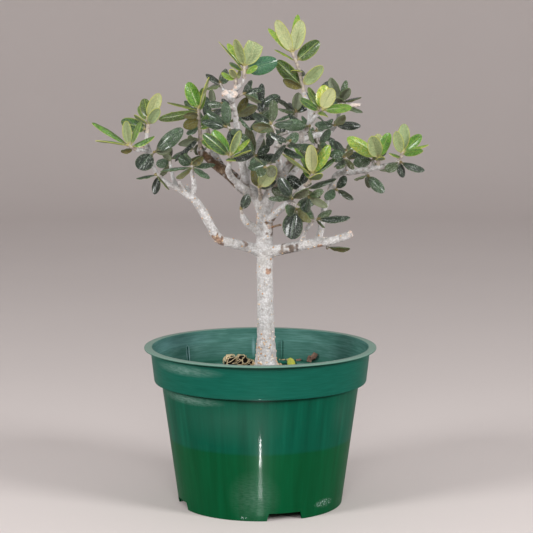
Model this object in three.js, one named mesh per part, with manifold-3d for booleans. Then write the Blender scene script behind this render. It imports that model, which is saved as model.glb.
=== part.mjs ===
import * as THREE from 'three';
import { mergeVertices } from 'three/addons/utils/BufferGeometryUtils.js';
import Module from 'manifold-3d';

// A small olive grown as a bonsai, in a round plastic nursery pot.
// Millimetres, +Z up. The origin is on the table, under the middle of the pot, and the front faces -Y.

// ---- driving dimensions ----

const pot = {
  height: 112.6,
  baseRadius: 58.4,
  shoulderRadius: 70.4, // top of the tapered body, under the band
  shoulderZ: 88,
  bandLowRadius: 75.5,
  bandTopRadius: 78,
  bandEdge: 0.9, // chamfer of the band's lower edge
  lipRadius: 82.5,
  lipThickness: 1.2,
  wall: 1.7,
  floorZ: 8,
  sides: 32,
  footNotches: { count: 4, turnDeg: -73, width: 23, flare: 3, height: 5.5, depth: 12 },
  drainHoles: { radius: 5, fromAxis: 44, sides: 8 },
};

const soil = {
  edgeZ: 84.3, // where the soil meets the wall
  crownZ: 96.6, // where it meets the trunk
  slopeLength: 58, // from the trunk to the foot of the mound
  slopePower: 1.6, // above 1 the mound is hollow-sided
  gap: 0.4, // to the pot and to the trunk
  holeRadius: 10,
  holeFloorZ: 69.6,
  holeSides: 12,
  rings: [60, 45, 30, 15],
  relief: 0.9,
};

const clump = {
  crumbs: 9,
  from: [-25, 10], // least x and y of a crumb's middle
  spread: [15, 9],
  size: 2.8,
  sizeSpread: 1.4,
  lift: 3,
  liftSpread: 6.5,
  core: { at: [-17, 14], size: [15, 9, 17], lift: 0.5 },
};

// The chip lies on the pot's inner ledge.
const chip = {
  size: [3.8, 3.6, 4.9],
  blocks: [{ at: [36.9, 60, 92.2], lean: 20 }, { at: [40.1, 59.6, 94.5], lean: 35 }],
};

const fallenLeaf = { root: [24.5, 58, 85.4], tip: [21.5, 65.5, 92], width: 5.6 };

const twigSides = 4;
const twigBaseRadius = 1.25;
const twigTipRadius = 0.85;
const spurSides = 3;
const spurRadius = 1.35;
const limbEndReach = 1.6; // a shoot that begins this near a limb's end is that limb's own
const spurLength = 3.2; // how far the branch reaches into each leafy shoot's line
const rootOffset = 0.5; // from the twig's middle to a leaf's root
const rootMargin = 1.3; // from the twig's ends to the nearest leaf's root
const jointGap = 0.3; // between a branch's spur and the shoot that grows on from it

const bladeThickness = 0.7;
const bladeArch = 0.05; // rise of the midrib, as a share of the leaf's length
const marginDroop = 0.12; // fall of the rolled-under edge, as a share of the leaf's width
const outlineFullness = 0.55; // below 1 the leaf is oblong, at 1 it is a pointed lens
const bladeClearance = 1.5; // half of what one leaf keeps from another
const woodClearance = 0.5;

// ---- the wood: name, sides, then [x, y, z, radius] along each limb ----

const limbs = [
  ['trunk', 8, [
    [4.1, 0, 71, 7.5], [4.1, 0, 91, 9.4], [4.1, 0, 98, 8.9], [4.1, 0, 104, 7.6], [4, 0, 117, 6.5],
    [3.5, 0, 146, 5.8], [3, 0, 176, 5.8], [3, 0, 195, 6.0], [3, 0, 203, 5.6], [3, 0, 212, 5.1],
  ]],
  ['left limb', 6, [
    [3, 0, 208, 5.2], [-3, 2, 219, 4.9], [-12, 6, 225, 4.7], [-21, 10, 233, 4.3], [-31, 13, 240, 3.7],
    [-38, 14, 246, 3.0], [-43, 12, 251, 2.3],
  ]],
  ['left lower branch', 6, [
    [3, 0, 178.5, 4.4], [-7, -3, 183.2, 3.8], [-21, -8, 187.2, 3.5], [-28.5, -10, 190, 3.5],
    [-34, -12, 198.3, 3.3], [-40.3, -15, 210.3, 3.1], [-46.6, -18, 219.2, 2.9], [-51, -19, 222, 2.6],
  ]],
  ['left fork', 5, [
    [-49, -18, 221, 2.5], [-58, -20, 227, 2.1], [-66, -20, 231, 1.9], [-72, -18, 237, 1.8],
    [-75, -16, 244, 1.7], [-77, -14, 252, 1.7], [-79, -13, 258, 1.5], [-79, -12, 262, 1.4],
  ]],
  ['left fork side', 5, [[-77, -14, 251, 1.6], [-82, -18, 253, 1.5], [-85, -20, 253, 1.4]]],
  ['left fork nub', 5, [[-78, -14, 251, 1.6], [-81, -11, 253, 1.6], [-84, -10, 256, 1.4]]],
  ['left inner fork', 5, [
    [-49, -18, 220, 2.4], [-46, -21, 226, 1.9], [-46, -23, 232, 1.7], [-47, -24, 237, 1.5],
  ]],
  ['left back twig', 5, [
    [-58, -20, 227, 2.0], [-60, -8, 230, 1.6], [-62, 4, 234, 1.4], [-63, 10, 238, 1.3],
  ]],
  ['left stub a', 5, [[-49, -18, 223, 2.0], [-52, -14, 228, 1.5]]],
  ['left stub b', 5, [[-53, -19, 224, 1.8], [-56, -26, 232, 1.3]]],
  ['lower stub', 6, [
    [3, 0, 189, 3.4], [-4, -7, 197.5, 3.0], [-9.5, -11, 202, 2.6], [-12, -13, 206, 2.2],
  ]],
  ['front left branch', 6, [
    [-3, 1, 218, 3.6], [-10, -8, 224, 2.9], [-17, -18, 231, 2.4], [-22, -27, 239, 2.1],
    [-21, -33, 244, 1.8],
  ]],
  ['white upright', 6, [
    [-10, 6, 222, 3.4], [-11, 3, 232, 3.1], [-13, 0, 243, 2.7], [-15, -2, 252, 2.5], [-16, -4, 264, 2.3],
    [-17, -6, 273, 2.1], [-18, -7, 280, 2.0], [-20, -8, 287, 1.9], [-20, -8, 289.5, 2.0],
    [-20, -8, 292, 3.3], [-20, -8, 294, 3.0],
  ]],
  ['upright stub left', 5, [[-20, -8, 289, 1.8], [-25, -5, 293, 1.5]]],
  ['upright stub right', 5, [[-20, -8, 291, 1.8], [-17, -9, 296, 1.5]]],
  ['upright cut left', 5, [[-20, -8, 286, 1.9], [-22, -14, 289.5, 2.3], [-25, -16, 293, 2.7]]],
  ['upright cut right', 5, [[-20, -8, 286, 1.9], [-19.5, -14, 289.5, 2.3], [-17, -16, 292.5, 2.5]]],
  ['upright twig', 5, [[-20, -8, 291, 1.6], [-15, -11, 296, 1.4], [-12, -13, 300, 1.3]]],
  ['inner left branch', 6, [
    [-9, 5, 223, 3.0], [-10, 10, 233, 2.6], [-7, 14, 244, 2.3], [-2, 17, 254, 2.0], [1, 19, 260, 1.8],
    [3, 22, 269, 1.6],
  ]],
  ['back left branch', 6, [
    [-27, 12, 238, 2.8], [-33, 27, 248, 2.3], [-37, 40, 258, 2.0], [-39, 50, 269, 1.6],
  ]],
  ['back middle branch', 5, [
    [-10, 9, 231, 2.4], [-10, 26, 241, 2.1], [-6, 42, 255, 1.8], [-2, 52, 268, 1.5],
  ]],
  ['centre stem', 6, [
    [3, 0, 210, 4.4], [7, -5, 223, 4.0], [14, -12, 234, 3.6], [18, -16, 241, 3.2], [22, -17, 249, 2.9],
    [25, -16, 255, 2.7], [28, -12, 263, 2.5], [35, -10, 270, 2.1],
  ]],
  ['centre front branch', 6, [
    [12, -11, 230, 2.8], [13, -27, 245, 2.3], [11, -38, 255, 1.9], [10, -44, 264, 1.6],
  ]],
  ['centre twig', 5, [[21, -17, 246, 1.9], [22, -4, 258, 1.7], [22, 4, 267, 1.5], [24, 6, 273, 1.3]]],
  ['leader', 5, [[34, -11, 268, 2.2], [35, -6, 279, 2.1], [31, -3, 290, 2.0]]],
  ['upper right twig', 5, [[34, -10, 268, 1.9], [37, -16, 275, 1.7], [39, -19, 277, 1.5]]],
  ['right behind', 5, [
    [27, -13, 259, 2.2], [39, 2, 262, 2.0], [50, 10, 265, 1.9], [54, 14, 271, 1.7], [56, 16, 279, 1.5],
  ]],
  ['right behind stub', 5, [[55, 14, 274, 1.5], [58, 4, 281, 1.5], [63, -2, 283, 1.5], [70, -4, 283.5, 1.4]]],
  ['back right branch', 6, [
    [5, 2, 211, 3.6], [11, 20, 219, 3.1], [21, 36, 229, 2.6], [31, 50, 241, 2.2], [39, 58, 253, 1.7],
  ]],
  ['right inner branch', 6, [
    [5, 0, 201, 3.0], [11, -8, 208, 2.4], [19, -15, 216, 2.1], [25, -20, 223, 1.9], [29, -25, 228, 1.7],
  ]],
  ['right lower branch', 6, [
    [4, 0, 179, 4.4], [16, -5, 182.3, 3.8], [28, -10, 185.4, 3.7], [41, -14, 188, 3.5], [50, -16, 189.6, 2.9],
    [64, -18, 195, 2.5],
  ]],
  ['right thin twig', 5, [[28, -10, 186, 2.0], [31, -16, 195, 1.5], [34, -21, 201, 1.3]]],
  ['right upright', 6, [
    [40, -13, 189, 2.7], [42, -13, 195, 2.4], [44, -10, 208, 2.2], [47, -8, 217, 2.2],
    [50, -6, 227, 2.2], [54, -6, 235, 2.3], [64, -8, 237, 2.3], [76, -10, 239, 2.1], [89, -12, 242, 1.8],
    [95, -13, 244, 1.5],
  ]],
  ['right upright front', 5, [[58, -8, 236, 1.9], [60, -22, 241, 1.6], [59, -32, 245, 1.3]]],
  ['right back twig', 5, [[49, -6, 224, 1.8], [54, 10, 231, 1.5], [61, 26, 239, 1.3]]],
];

// ---- the leafy shoots ----
// Each has a name, the age of its leaves, its number of filler pairs and its line from the wood to its bud.
// Then come the leaves that were set by eye, as [place along the line, tip x, y, z, width, face].
// face runs from -1, underside to the front, through 0, edge to the front, to 1, upper side to the front.

const shoots = [
  ['far left', 'new', 1, [[-85, -20, 253], [-88, -24, 255], [-91, -28, 257]], [
    [1, -115, -31, 273, 4.9, 0.15], [0.89, -112, -35, 261, 4.9, -0.25], [1, -92, -37, 274, 6.3, -0.9],
    [0.73, -82, -20, 273, 4.9, 0.3], [0.45, -96, -28, 252, 5.6, -0.5],
  ]],
  ['left upright', 'new', 1, [[-79, -12, 262], [-78, -11, 268], [-78, -10, 275]], [
    [0.61, -70, -19, 282, 7, -0.9], [1, -70, -16, 292, 8.4, -0.9], [0.95, -81, -2, 288, 8.4, 0.9],
    [0.83, -86, -5, 282, 5.6, 0.6], [0.51, -82, 3, 266, 7, 0.7], [0.3, -97, -9, 272, 9.1, 0.9],
  ]],
  ['left inner', 'old', 1, [[-77, -15, 248], [-75, -20, 250], [-73, -24, 252]], [
    [0.95, -53, -27, 268, 10, 0.8], [1, -62, -14, 256, 8.4, -0.8], [0.89, -84, -29, 241, 12, 0.8],
  ]],
  ['left low', 'old', 1, [[-69, -19, 234], [-70, -25, 236], [-72, -30, 237]], [
    [1, -85, -34, 235, 5.6, -0.4], [0.61, -73, -29, 223, 5.6, 0.8], [0.89, -62, -37, 227, 5.6, -0.5],
  ]],
  ['left back', 'old', 1, [[-63, 10, 238], [-64, 14, 242], [-64, 17, 245]], [
    [0.89, -74, 10, 241, 7, 0.7], [1, -67, 25, 259, 7, 0.5], [0.95, -53, 27, 250, 6.3, 0.4],
    [0.61, -73, 29, 231, 6.3, 0.3],
  ]],
  ['left middle', 'old', 1, [[-47, -24, 237], [-47, -25, 241], [-47, -26, 244]], [
    [1, -56, -31, 249, 7, 0.8], [1, -39, -30, 249, 5.6, -0.8], [0.67, -31, -27, 244, 5.6, 0.4],
    [0.56, -69, -29, 240, 5.6, -0.2], [0.45, -58, -35, 235, 5.6, -0.5], [0.56, -34, -34, 235, 5.6, 0.4],
  ]],
  ['front left bright', 'new', 1, [[-21, -33, 244], [-21, -36, 248], [-20, -39, 251]], [
    [1, -33, -31, 267, 8.4, 0.95], [0.78, -39, -42, 266, 8.4, 0.7], [1, -14, -46, 268, 5.6, -0.9],
    [0.83, -7, -43, 261, 4.2, 0.1], [0.61, -6, -43, 255, 4.2, -0.2], [0.45, -5, -32, 251, 6.3, 0.8],
  ]],
  ['mid left', 'new', 1, [[-43, 12, 251], [-42, 8, 257], [-43, 3, 269], [-43, -2, 281]], [
    [1, -51, 3, 299, 9.7, 0.9], [0.97, -36, -8, 303, 4.9, -0.3], [0.95, -65, -5, 285, 3.5, 0.1],
    [0.92, -71, -5, 273, 6.3, 0.8], [0.78, -63, 6, 278, 3.5, 0.1], [0.83, -54, -8, 278, 5.6, -0.8],
    [0.73, -54, -8, 269, 8.4, -0.9], [0.61, -52, 1, 263, 5.6, 0.5], [0.89, -40, 8, 295, 5.6, 0.4],
    [0.29, -58, -1, 256, 6.3, -0.8], [0.33, -60, -4, 245, 4.9, 0.3], [0.29, -31, 1, 252, 5.6, 0.3],
  ]],
  ['mid left dark', 'old', 1, [[-37, 40, 258], [-38, 38, 265], [-39, 34, 272]], [
    [1, -53, 28, 286, 6.3, 0.5], [0.89, -27, 29, 280, 6.3, 0.6], [0.78, -52, 32, 265, 6.3, 0.3],
    [0.95, -38, 42, 288, 6.3, 0.7], [0.61, -25, 33, 268, 6.3, 0.5],
  ]],
  ['dark left a', 'old', 1, [[-16, -4, 264], [-20, -10, 267], [-24, -14, 269]], [
    [0.83, -25, -16, 286, 7, 0.8], [1, -40, -20, 273, 6.3, 0.7], [1, -38, -12, 280, 6.3, 0.5],
    [0.73, -20, -20, 255, 6.3, 0.4],
  ]],
  ['dark left b', 'old', 1, [[-18, -7, 280], [-22, -12, 283], [-26, -15, 285]], [
    [0.78, -27, -11, 300, 5.6, 0.5], [1, -37, -19, 285, 5.6, 0.4], [1, -34, -7, 293, 5.6, 0.6],
    [0.89, -31, -22, 274, 5.6, 0.3],
  ]],
  ['dark left c', 'old', 1, [[-17, -6, 273], [-16, 1, 274], [-16, 8, 277]], [
    [1, -27, 14, 288, 6.3, 0.6], [1, -9, -1, 289, 6.3, -0.8], [0.83, -6, 0, 265, 4.9, 0.4],
  ]],
  ['upright left', 'old', 1, [[-25, -5, 293], [-27, -3, 296], [-28, -2, 299]], [
    [1, -38, -5, 305, 5.6, 0.6], [1, -25, 4, 309, 5.6, 0.7], [0.78, -38, -8, 295, 5.6, 0.4],
    [0.78, -20, 6, 306, 4.9, 0.6],
  ]],
  ['upright tip', 'new', 1, [[-17, -9, 296], [-17, -11, 299], [-17, -12, 303]], [
    [0.78, -27, -15, 306, 4.9, 0.5], [1, -20, -16, 309, 4.9, -0.7], [1, -14, -7, 307, 4.2, -0.6],
  ]],
  ['upright top', 'new', 1, [[-12, -13, 300], [-11, -14, 304], [-11, -15, 311]], [
    [0.61, -29, -19, 327, 4.2, 0.1], [0.89, -23, -10, 326, 5.6, 0.8], [1, -17, -21, 329, 6.3, -0.8],
    [0.51, -2, -20, 311, 4.9, 0.6], [0.7, 12, -7, 314, 11.9, 0.9], [0.92, -3, -21, 327, 12, -0.9],
  ]],
  ['upright right', 'old', 1, [[-20, -8, 287], [-15, -12, 290], [-11, -16, 292]], [
    [0.89, 1, -20, 296, 4.9, 0.4], [0.78, -6, -12, 301, 5.6, 0.6], [1, 1, -22, 286, 5.6, -0.5],
  ]],
  ['top middle', 'old', 1, [[-2, 52, 268], [-1, 50, 276], [0, 46, 282]], [
    [1, 14, 42, 288, 8.4, 0.8], [0.95, -10, 50, 296, 6.3, 0.6], [0.78, -15, 43, 282, 6.3, 0.5],
    [0.73, 11, 53, 271, 6.3, 0.5], [1, 1, 52, 297, 5.6, 0.5],
  ]],
  ['inner left', 'old', 1, [[3, 22, 269], [1, 19, 273], [0, 16, 276]], [
    [1, 11, 12, 279, 6.3, 0.6], [1, -7, 12, 278, 6.3, 0.6], [0.67, -6, 12, 265, 6.3, 0.4],
    [0.61, 7, 26, 264, 6.3, 0.5], [1, 1, 23, 291, 5.6, 0.6],
  ]],
  ['middle front', 'old', 1, [[10, -44, 264], [9, -48, 269], [7, -51, 273]], [
    [0.67, -6, -52, 271, 7.7, -0.8], [1, -6, -49, 279, 6.3, 0.7], [0.83, 22, -51, 275, 6.3, 0.6],
    [1, 9, -52, 289, 6.3, 0.6], [0.51, 5, -55, 258, 5.6, 0.6],
  ]],
  ['middle front low', 'old', 1, [[12, -32, 250], [8, -39, 246], [3, -44, 243]], [
    [0.89, -3, -47, 251, 7, -0.5], [1, -2, -51, 238, 6.3, 0.6], [0.95, 10, -50, 237, 7, -0.8],
    [0.73, 16, -46, 258, 5.6, 0.4],
  ]],
  ['left of centre', 'old', 1, [[-7, 14, 244], [-5, 6, 247], [-3, -1, 248]], [
    [1, 6, -4, 255, 6.3, 0.6], [0.83, -14, -5, 254, 6.3, 0.5], [1, -4, -8, 239, 7, -0.4],
    [0.95, -15, 3, 265, 7, 0.8], [0.78, -9, 10, 268, 7, -0.8],
  ]],
  ['centre low', 'new', 1, [[0, -2, 216], [0, -10, 222], [-1, -15, 227]], [
    [1, 10, -20, 243, 10.5, -0.95], [0.89, 11, -18, 232, 4.9, 0.4], [0.95, -6, -17, 239, 6.3, -0.6],
  ]],
  ['centre leaf', 'old', 1, [[22, 2, 265], [16, 0, 263], [12, -3, 262]], [
    [0.89, 4, -7, 262, 6.3, 0.8], [0.67, 15, 2, 272, 5.6, 0.4], [0.73, 11, -10, 254, 5.6, 0.6],
  ]],
  ['centre top', 'old', 1, [[24, 6, 273], [25, 4, 275], [25, 1, 279]], [
    [1, 27, -4, 292, 7.7, -0.9], [0.95, 12, 7, 289, 4.2, 0.2], [0.89, 13, 0, 281, 4.2, 0.3],
    [0.73, 10, -1, 273, 4.2, 0.2], [0.78, 36, 11, 286, 6.3, 0.6],
  ]],
  ['spotted', 'old', 1, [[31, -11, 266], [34, -19, 269], [34, -22, 270]], [
    [1, 15, -26, 271, 8.4, 0.95], [0.89, 37, -27, 258, 5.6, -0.5],
  ]],
  ['right spray', 'old', 1, [[39, 2, 262], [41, -3, 256], [40, -7, 252]], [
    [0.95, 46, -13, 256, 5.6, 0.6], [0.73, 43, -14, 253, 6.3, -0.6], [1, 25, -16, 256, 5.6, 0.5],
  ]],
  ['yellow right', 'new', 1, [[39, -19, 277], [41, -22, 280], [43, -25, 281]], [
    [1, 49, -31, 296, 9.6, -0.95], [0.83, 44, -20, 298, 9.8, 0.6], [0.67, 33, -24, 296, 4.9, 0.6],
    [0.51, 27, -26, 289, 5.6, 0.6], [0.95, 63, -28, 283, 6.3, 0.8],
  ]],
  ['leader dark', 'old', 1, [[34, -6, 280], [36, 3, 278], [38, 10, 278]], [
    [1, 31, 8, 292, 8.4, 0.8], [1, 50, 18, 300, 8.4, 0.8], [0.78, 46, 15, 271, 6.3, 0.4],
  ]],
  ['leader', 'new', 1, [[31, -3, 290], [29, -1, 298], [28, -2, 305], [25, -3, 313], [22, -4, 320]], [
    [1, 11, -12, 342, 8.4, -0.9], [1, 29, -13, 342, 9.8, -0.95], [0.97, 27, 2, 346, 5.6, 0.6],
    [0.97, 5, -1, 336, 5.6, 0.5], [0.78, 10, 0, 322, 3.5, 0.1], [0.78, 41, 3, 328, 9.8, 0.9],
    [0.22, 43, -7, 311, 8.6, -0.9], [0.21, 11, 2, 314, 9.8, 0.9], [0.16, 15, -10, 302, 7, -0.6],
    [0.6, 32, 8, 306, 5.6, 0.5],
  ]],
  ['right top', 'old', 1, [[56, 16, 279], [57, 17, 283], [57, 18, 287]], [
    [0.95, 49, 15, 302, 7.7, -0.6], [1, 62, 24, 300, 4.9, 0.7], [1, 62, 12, 295, 6.3, -0.8],
    [0.67, 47, 23, 286, 6.3, 0.4], [0.51, 72, 11, 278, 4.9, 0.5],
  ]],
  ['right top low', 'old', 1, [[54, 14, 271], [53, 7, 270], [52, 1, 269]], [
    [1, 58, -4, 277, 7.7, -0.7], [0.89, 38, -1, 269, 6.3, 0.6], [1, 71, -1, 268, 6.3, 0.7],
  ]],
  ['yellow centre', 'new', 1, [[29, -25, 228], [33, -29, 231], [36, -33, 238]], [
    [1, 34, -40, 258, 8.4, -0.95], [0.97, 47, -37, 258, 7.7, 0.5], [0.92, 22, -35, 257, 4.2, 0.1],
    [0.86, 15, -37, 252, 4.9, -0.4], [0.89, 52, -36, 248, 4.9, 0.3], [0.95, 28, -24, 254, 6.3, 0.6],
    [0.97, 43, -21, 253, 7, 0.5],
  ]],
  ['centre right a', 'old', 1, [[25, -20, 223], [23, -26, 221], [22, -30, 220]], [
    [0.95, 12, -32, 234, 8.4, 0.8], [1, 7, -28, 226, 8.4, 0.7], [0.95, 5, -36, 222, 4.2, 0.2],
    [0.89, 32, -41, 230, 7.7, -0.6],
  ]],
  ['centre right b', 'old', 1, [[27, -21, 225], [30, -14, 225], [32, -8, 225]], [
    [0.89, 19, -12, 234, 8.4, 0.7], [1, 53, -11, 233, 5.6, 0.6], [1, 43, -15, 220, 6.3, 0.5],
    [0.67, 33, -6, 238, 7, 0.6],
  ]],
  ['centre right hang', 'old', 1, [[21, -17, 218], [24, -24, 216], [25, -30, 213]], [
    [1, 20, -35, 193, 14, 0.95], [0.78, 18, -32, 212, 8.4, 0.8], [0.95, 36, -35, 207, 7.7, -0.7],
  ]],
  ['centre right c', 'old', 1, [[29, -25, 228], [32, -31, 225], [33, -36, 222]], [
    [1, 30, -44, 213, 7.7, 0.5], [0.95, 46, -39, 215, 6.3, -0.7], [0.89, 42, -41, 227, 5.6, 0.5],
  ]],
  ['thin twig', 'old', 1, [[34, -21, 201], [36, -24, 204], [40, -26, 206]], [
    [1, 62, -32, 208, 7, 0.4], [0.61, 27, -29, 205, 4.9, -0.3], [0.83, 44, -33, 201, 3.5, -0.5],
    [0.89, 50, -20, 212, 5.6, 0.4],
  ]],
  ['low right', 'old', 0, [[46, -14, 188], [47, -10.5, 186], [47, -7.5, 183.5]], [
    [1, 63, -13, 184, 7.7, 0.4],
  ]],
  ['right upright side', 'old', 1, [[50, -6, 227], [52, -11, 226], [53, -14, 225]], [
    [1, 65, -18, 219, 4.9, 0.3], [0.78, 59, -21, 234, 6.3, 0.4],
  ]],
  ['right limb front', 'old', 1, [[59, -32, 245], [58, -36, 248], [57, -39, 250]], [
    [1, 61, -43, 256, 6.3, -0.6], [0.95, 48, -36, 253, 7, 0.8], [0.78, 64, -43, 242, 4.2, 0.3],
    [0.61, 52, -42, 241, 6.3, 0.3], [1, 52, -34, 260, 5.6, 0.5],
  ]],
  ['right limb back', 'old', 1, [[61, 26, 239], [61, 30, 244], [62, 33, 249]], [
    [1, 50, 30, 258, 7, 0.6], [1, 69, 39, 258, 6.3, 0.6], [0.73, 74, 26, 250, 6.3, 0.5],
    [0.67, 51, 35, 243, 6.3, 0.4],
  ]],
  ['right limb a', 'old', 1, [[78, -10, 239], [79, -5, 243], [79, 0, 245]], [
    [0.89, 65, -5, 243, 8.4, 0.9], [1, 66, 2, 251, 4.9, 0.4], [0.95, 89, 7, 253, 6.3, 0.5],
  ]],
  ['right limb b', 'new', 1, [[82, -11, 240], [82, -13, 245], [82, -15, 248]], [
    [0.95, 60, -20, 262, 9.1, 0.9], [1, 76, -22, 263, 10, -0.95], [1, 82, -9, 264, 7.7, -0.6],
    [0.89, 89, -12, 265, 7.7, 0.9],
  ]],
  ['right limb low', 'old', 1, [[74, -9, 238], [74, -13, 236], [75, -16, 235]], [
    [0.95, 85, -19, 223, 7.7, 0.8], [0.89, 65, -20, 233, 6.3, -0.5], [0.73, 76, -8, 225, 4.2, 0.2],
  ]],
  ['right end', 'new', 1, [[95, -13, 244], [97, -15, 247], [99, -16, 252]], [
    [0.73, 93, -22, 266, 7, -0.9], [1, 100, -20, 271, 8.4, -0.9], [1, 112, -12, 263, 7.7, 0.8],
    [0.89, 116, -19, 257, 4.9, 0.2], [0.78, 111, -21, 253, 5.6, 0.6], [0.56, 89, -20, 251, 4.9, 0.2],
  ]],
  ['right end old', 'old', 1, [[95, -13, 244], [95, -19, 245], [97, -23, 245]], [
    [1, 113, -26, 239, 5.6, 0.4], [0.78, 99, -27, 234, 5.6, 0.5],
  ]],
  ['back right', 'old', 1, [[39, 58, 253], [40, 60, 258], [41, 61, 262]], [
    [1, 31, 66, 273, 6.3, 0.5], [1, 53, 66, 271, 6.3, 0.5], [0.78, 26, 57, 256, 6.3, 0.4],
    [0.73, 56, 66, 256, 6.3, 0.4],
  ]],
  ['back low left', 'old', 3, [[-33, 27, 248], [-42, 30, 246], [-50, 36, 250]], []],
  ['back left high', 'old', 3, [[-39, 50, 269], [-37, 57, 276], [-34, 62, 283]], []],
  ['back middle low', 'old', 3, [[-8, 34, 248], [-3, 42, 243], [1, 53, 244]], []],
  ['back right low', 'old', 3, [[21, 36, 229], [20, 45, 224], [22, 57, 227]], []],
  ['back right side', 'old', 3, [[33, 52, 244], [45, 50, 247], [56, 46, 251]], []],
  ['front middle high', 'old', 3, [[11, -40, 258], [16, -49, 257], [20, -58, 262]], []],
  ['lower stub', 'old', 0, [[-12, -13, 206], [-13, -15, 209.5], [-13.6, -16.2, 212]], [
    [0.89, -8.5, -18, 222, 7, 0.8],
  ]],
];

// ---- solids ----

const wasm = await Module();
wasm.setup();

function toSolid(geometry) {
  const bare = geometry.clone();
  bare.deleteAttribute('normal');
  bare.deleteAttribute('uv');
  const merged = mergeVertices(bare, 1e-4);
  const corners = merged.index.array;
  const kept = [];
  for (let i = 0; i < corners.length; i += 3) {
    const [a, b, c] = [corners[i], corners[i + 1], corners[i + 2]];
    if (a !== b && b !== c && c !== a) kept.push(a, b, c);
  }
  return new wasm.Manifold(new wasm.Mesh({
    numProp: 3,
    vertProperties: new Float32Array(merged.attributes.position.array),
    triVerts: new Uint32Array(kept),
  }));
}

function toGeometry(solid) {
  const mesh = solid.getMesh();
  const geometry = new THREE.BufferGeometry();
  geometry.setAttribute('position', new THREE.BufferAttribute(new Float32Array(mesh.vertProperties), 3));
  geometry.setIndex(Array.from(mesh.triVerts));
  geometry.computeVertexNormals();
  return geometry;
}

function join(geometries) {
  return wasm.Manifold.union(geometries.map(toSolid));
}

function fromTriangles(vertices, triangles) {
  const geometry = new THREE.BufferGeometry();
  geometry.setAttribute('position', new THREE.Float32BufferAttribute(vertices.flatMap((v) => v.toArray()), 3));
  geometry.setIndex(triangles.flat());
  return geometry;
}

// A solid of revolution about Z, from [radius, z] points that start and end on the axis.
function turned(profile, sides) {
  const outline = profile.map(([radius, z]) => new THREE.Vector2(radius, z));
  return new THREE.LatheGeometry(outline, sides).rotateX(Math.PI / 2);
}

// A closed tube through rings of points, as thick at each one as its radius says.
function tube(points, radii, sides) {
  const vertices = [];
  const triangles = [];
  const side = new THREE.Vector3(0.3, 0.9, 0.2);
  points.forEach((point, i) => {
    const tangent = points[Math.min(i + 1, points.length - 1)].clone().sub(points[Math.max(i - 1, 0)]).normalize();
    side.addScaledVector(tangent, -side.dot(tangent)).normalize();
    const other = tangent.clone().cross(side);
    for (let k = 0; k < sides; k++) {
      const angle = (2 * Math.PI * k) / sides;
      vertices.push(point.clone()
        .addScaledVector(side, radii[i] * Math.cos(angle))
        .addScaledVector(other, radii[i] * Math.sin(angle)));
    }
  });
  for (let i = 0; i < points.length - 1; i++) {
    for (let k = 0; k < sides; k++) {
      const a = i * sides + k;
      const b = i * sides + ((k + 1) % sides);
      triangles.push([a, b, b + sides], [a, b + sides, a + sides]);
    }
  }
  const last = (points.length - 1) * sides;
  for (let k = 1; k < sides - 1; k++) {
    triangles.push([0, k + 1, k], [last, last + k, last + k + 1]);
  }
  return fromTriangles(vertices, triangles);
}

// ---- leaves ----

function halfWidth(leaf, u) {
  return (leaf.width / 2) * Math.pow(4 * u * (1 - u), outlineFullness);
}

// A point of the blade: u runs from root to tip, v from one edge to the other.
function bladePoint(leaf, u, v, lift = 0) {
  const rise = 4 * u * (1 - u) * bladeArch * leaf.length - marginDroop * leaf.width * v * v * 4 * u * (1 - u);
  return leaf.base.clone()
    .addScaledVector(leaf.along, u * leaf.length)
    .addScaledVector(leaf.across, v * halfWidth(leaf, u))
    .addScaledVector(leaf.normal, rise + lift);
}

// A leaf from its root to its tip. The upper side looks along the shoot, turned to the front by face.
function makeLeaf(base, tip, axis, width, face) {
  const along = tip.clone().sub(base);
  const length = along.length();
  along.normalize();
  const inward = axis.clone().addScaledVector(along, -axis.dot(along)).normalize();
  const front = new THREE.Vector3(0, -1, 0).addScaledVector(along, along.y).normalize();
  const normal = inward.multiplyScalar(1 - Math.abs(face)).addScaledVector(front, face).normalize();
  const across = normal.clone().cross(along);
  return { base, along, across, normal, length, width };
}

// One arched blade of 20 triangles: a root, two pairs of edge points and a tip.
// The root stands a little off the twig's middle, so that neighbours don't meet there.
function bladeSolid(leaf) {
  const rows = [[rootOffset / leaf.length, 0], [0.32, -1], [0.32, 1], [0.74, -1], [0.74, 1], [1, 0]];
  const lift = bladeThickness / 2;
  const vertices = [
    ...rows.map(([u, v]) => bladePoint(leaf, u, v, lift)),
    ...rows.map(([u, v]) => bladePoint(leaf, u, v, -lift)),
  ];
  const upper = [[0, 1, 2], [1, 3, 4], [1, 4, 2], [3, 5, 4]];
  const rim = [0, 1, 3, 5, 4, 2];
  const under = rows.length;
  const triangles = [...upper, ...upper.map(([a, b, c]) => [a + under, c + under, b + under])];
  rim.forEach((a, i) => {
    const b = rim[(i + 1) % rim.length];
    triangles.push([a + under, b + under, b], [a + under, b, a]);
  });
  return fromTriangles(vertices, triangles);
}

// ---- where each shoot and leaf goes ----

// Park and Miller's generator, so that a draw is the same number on every machine.
function draw(shootIndex, leafIndex) {
  let state = 7919 * (shootIndex + 1) + 104729 * (leafIndex + 1);
  for (let i = 0; i < 4; i++) state = (state * 16807) % 2147483647;
  return state / 2147483647;
}

function pointAt(path, place) {
  const lengths = path.slice(1).map((point, i) => point.distanceTo(path[i]));
  let rest = place * lengths.reduce((sum, length) => sum + length, 0);
  let i = 0;
  while (i < lengths.length - 1 && rest > lengths[i]) rest -= lengths[i++];
  return path[i].clone().lerp(path[i + 1], Math.min(rest / lengths[i], 1));
}

// A leaf's root is sunk in its twig, and stays off both of the twig's ends.
function rootPlace({ twigStart, length }, place) {
  return THREE.MathUtils.clamp(place, twigStart + rootMargin / length, 1 - rootMargin / length);
}

function pathLength(path) {
  return path.slice(1).reduce((sum, point, i) => sum + point.distanceTo(path[i]), 0);
}

const obstacles = [];

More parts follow.
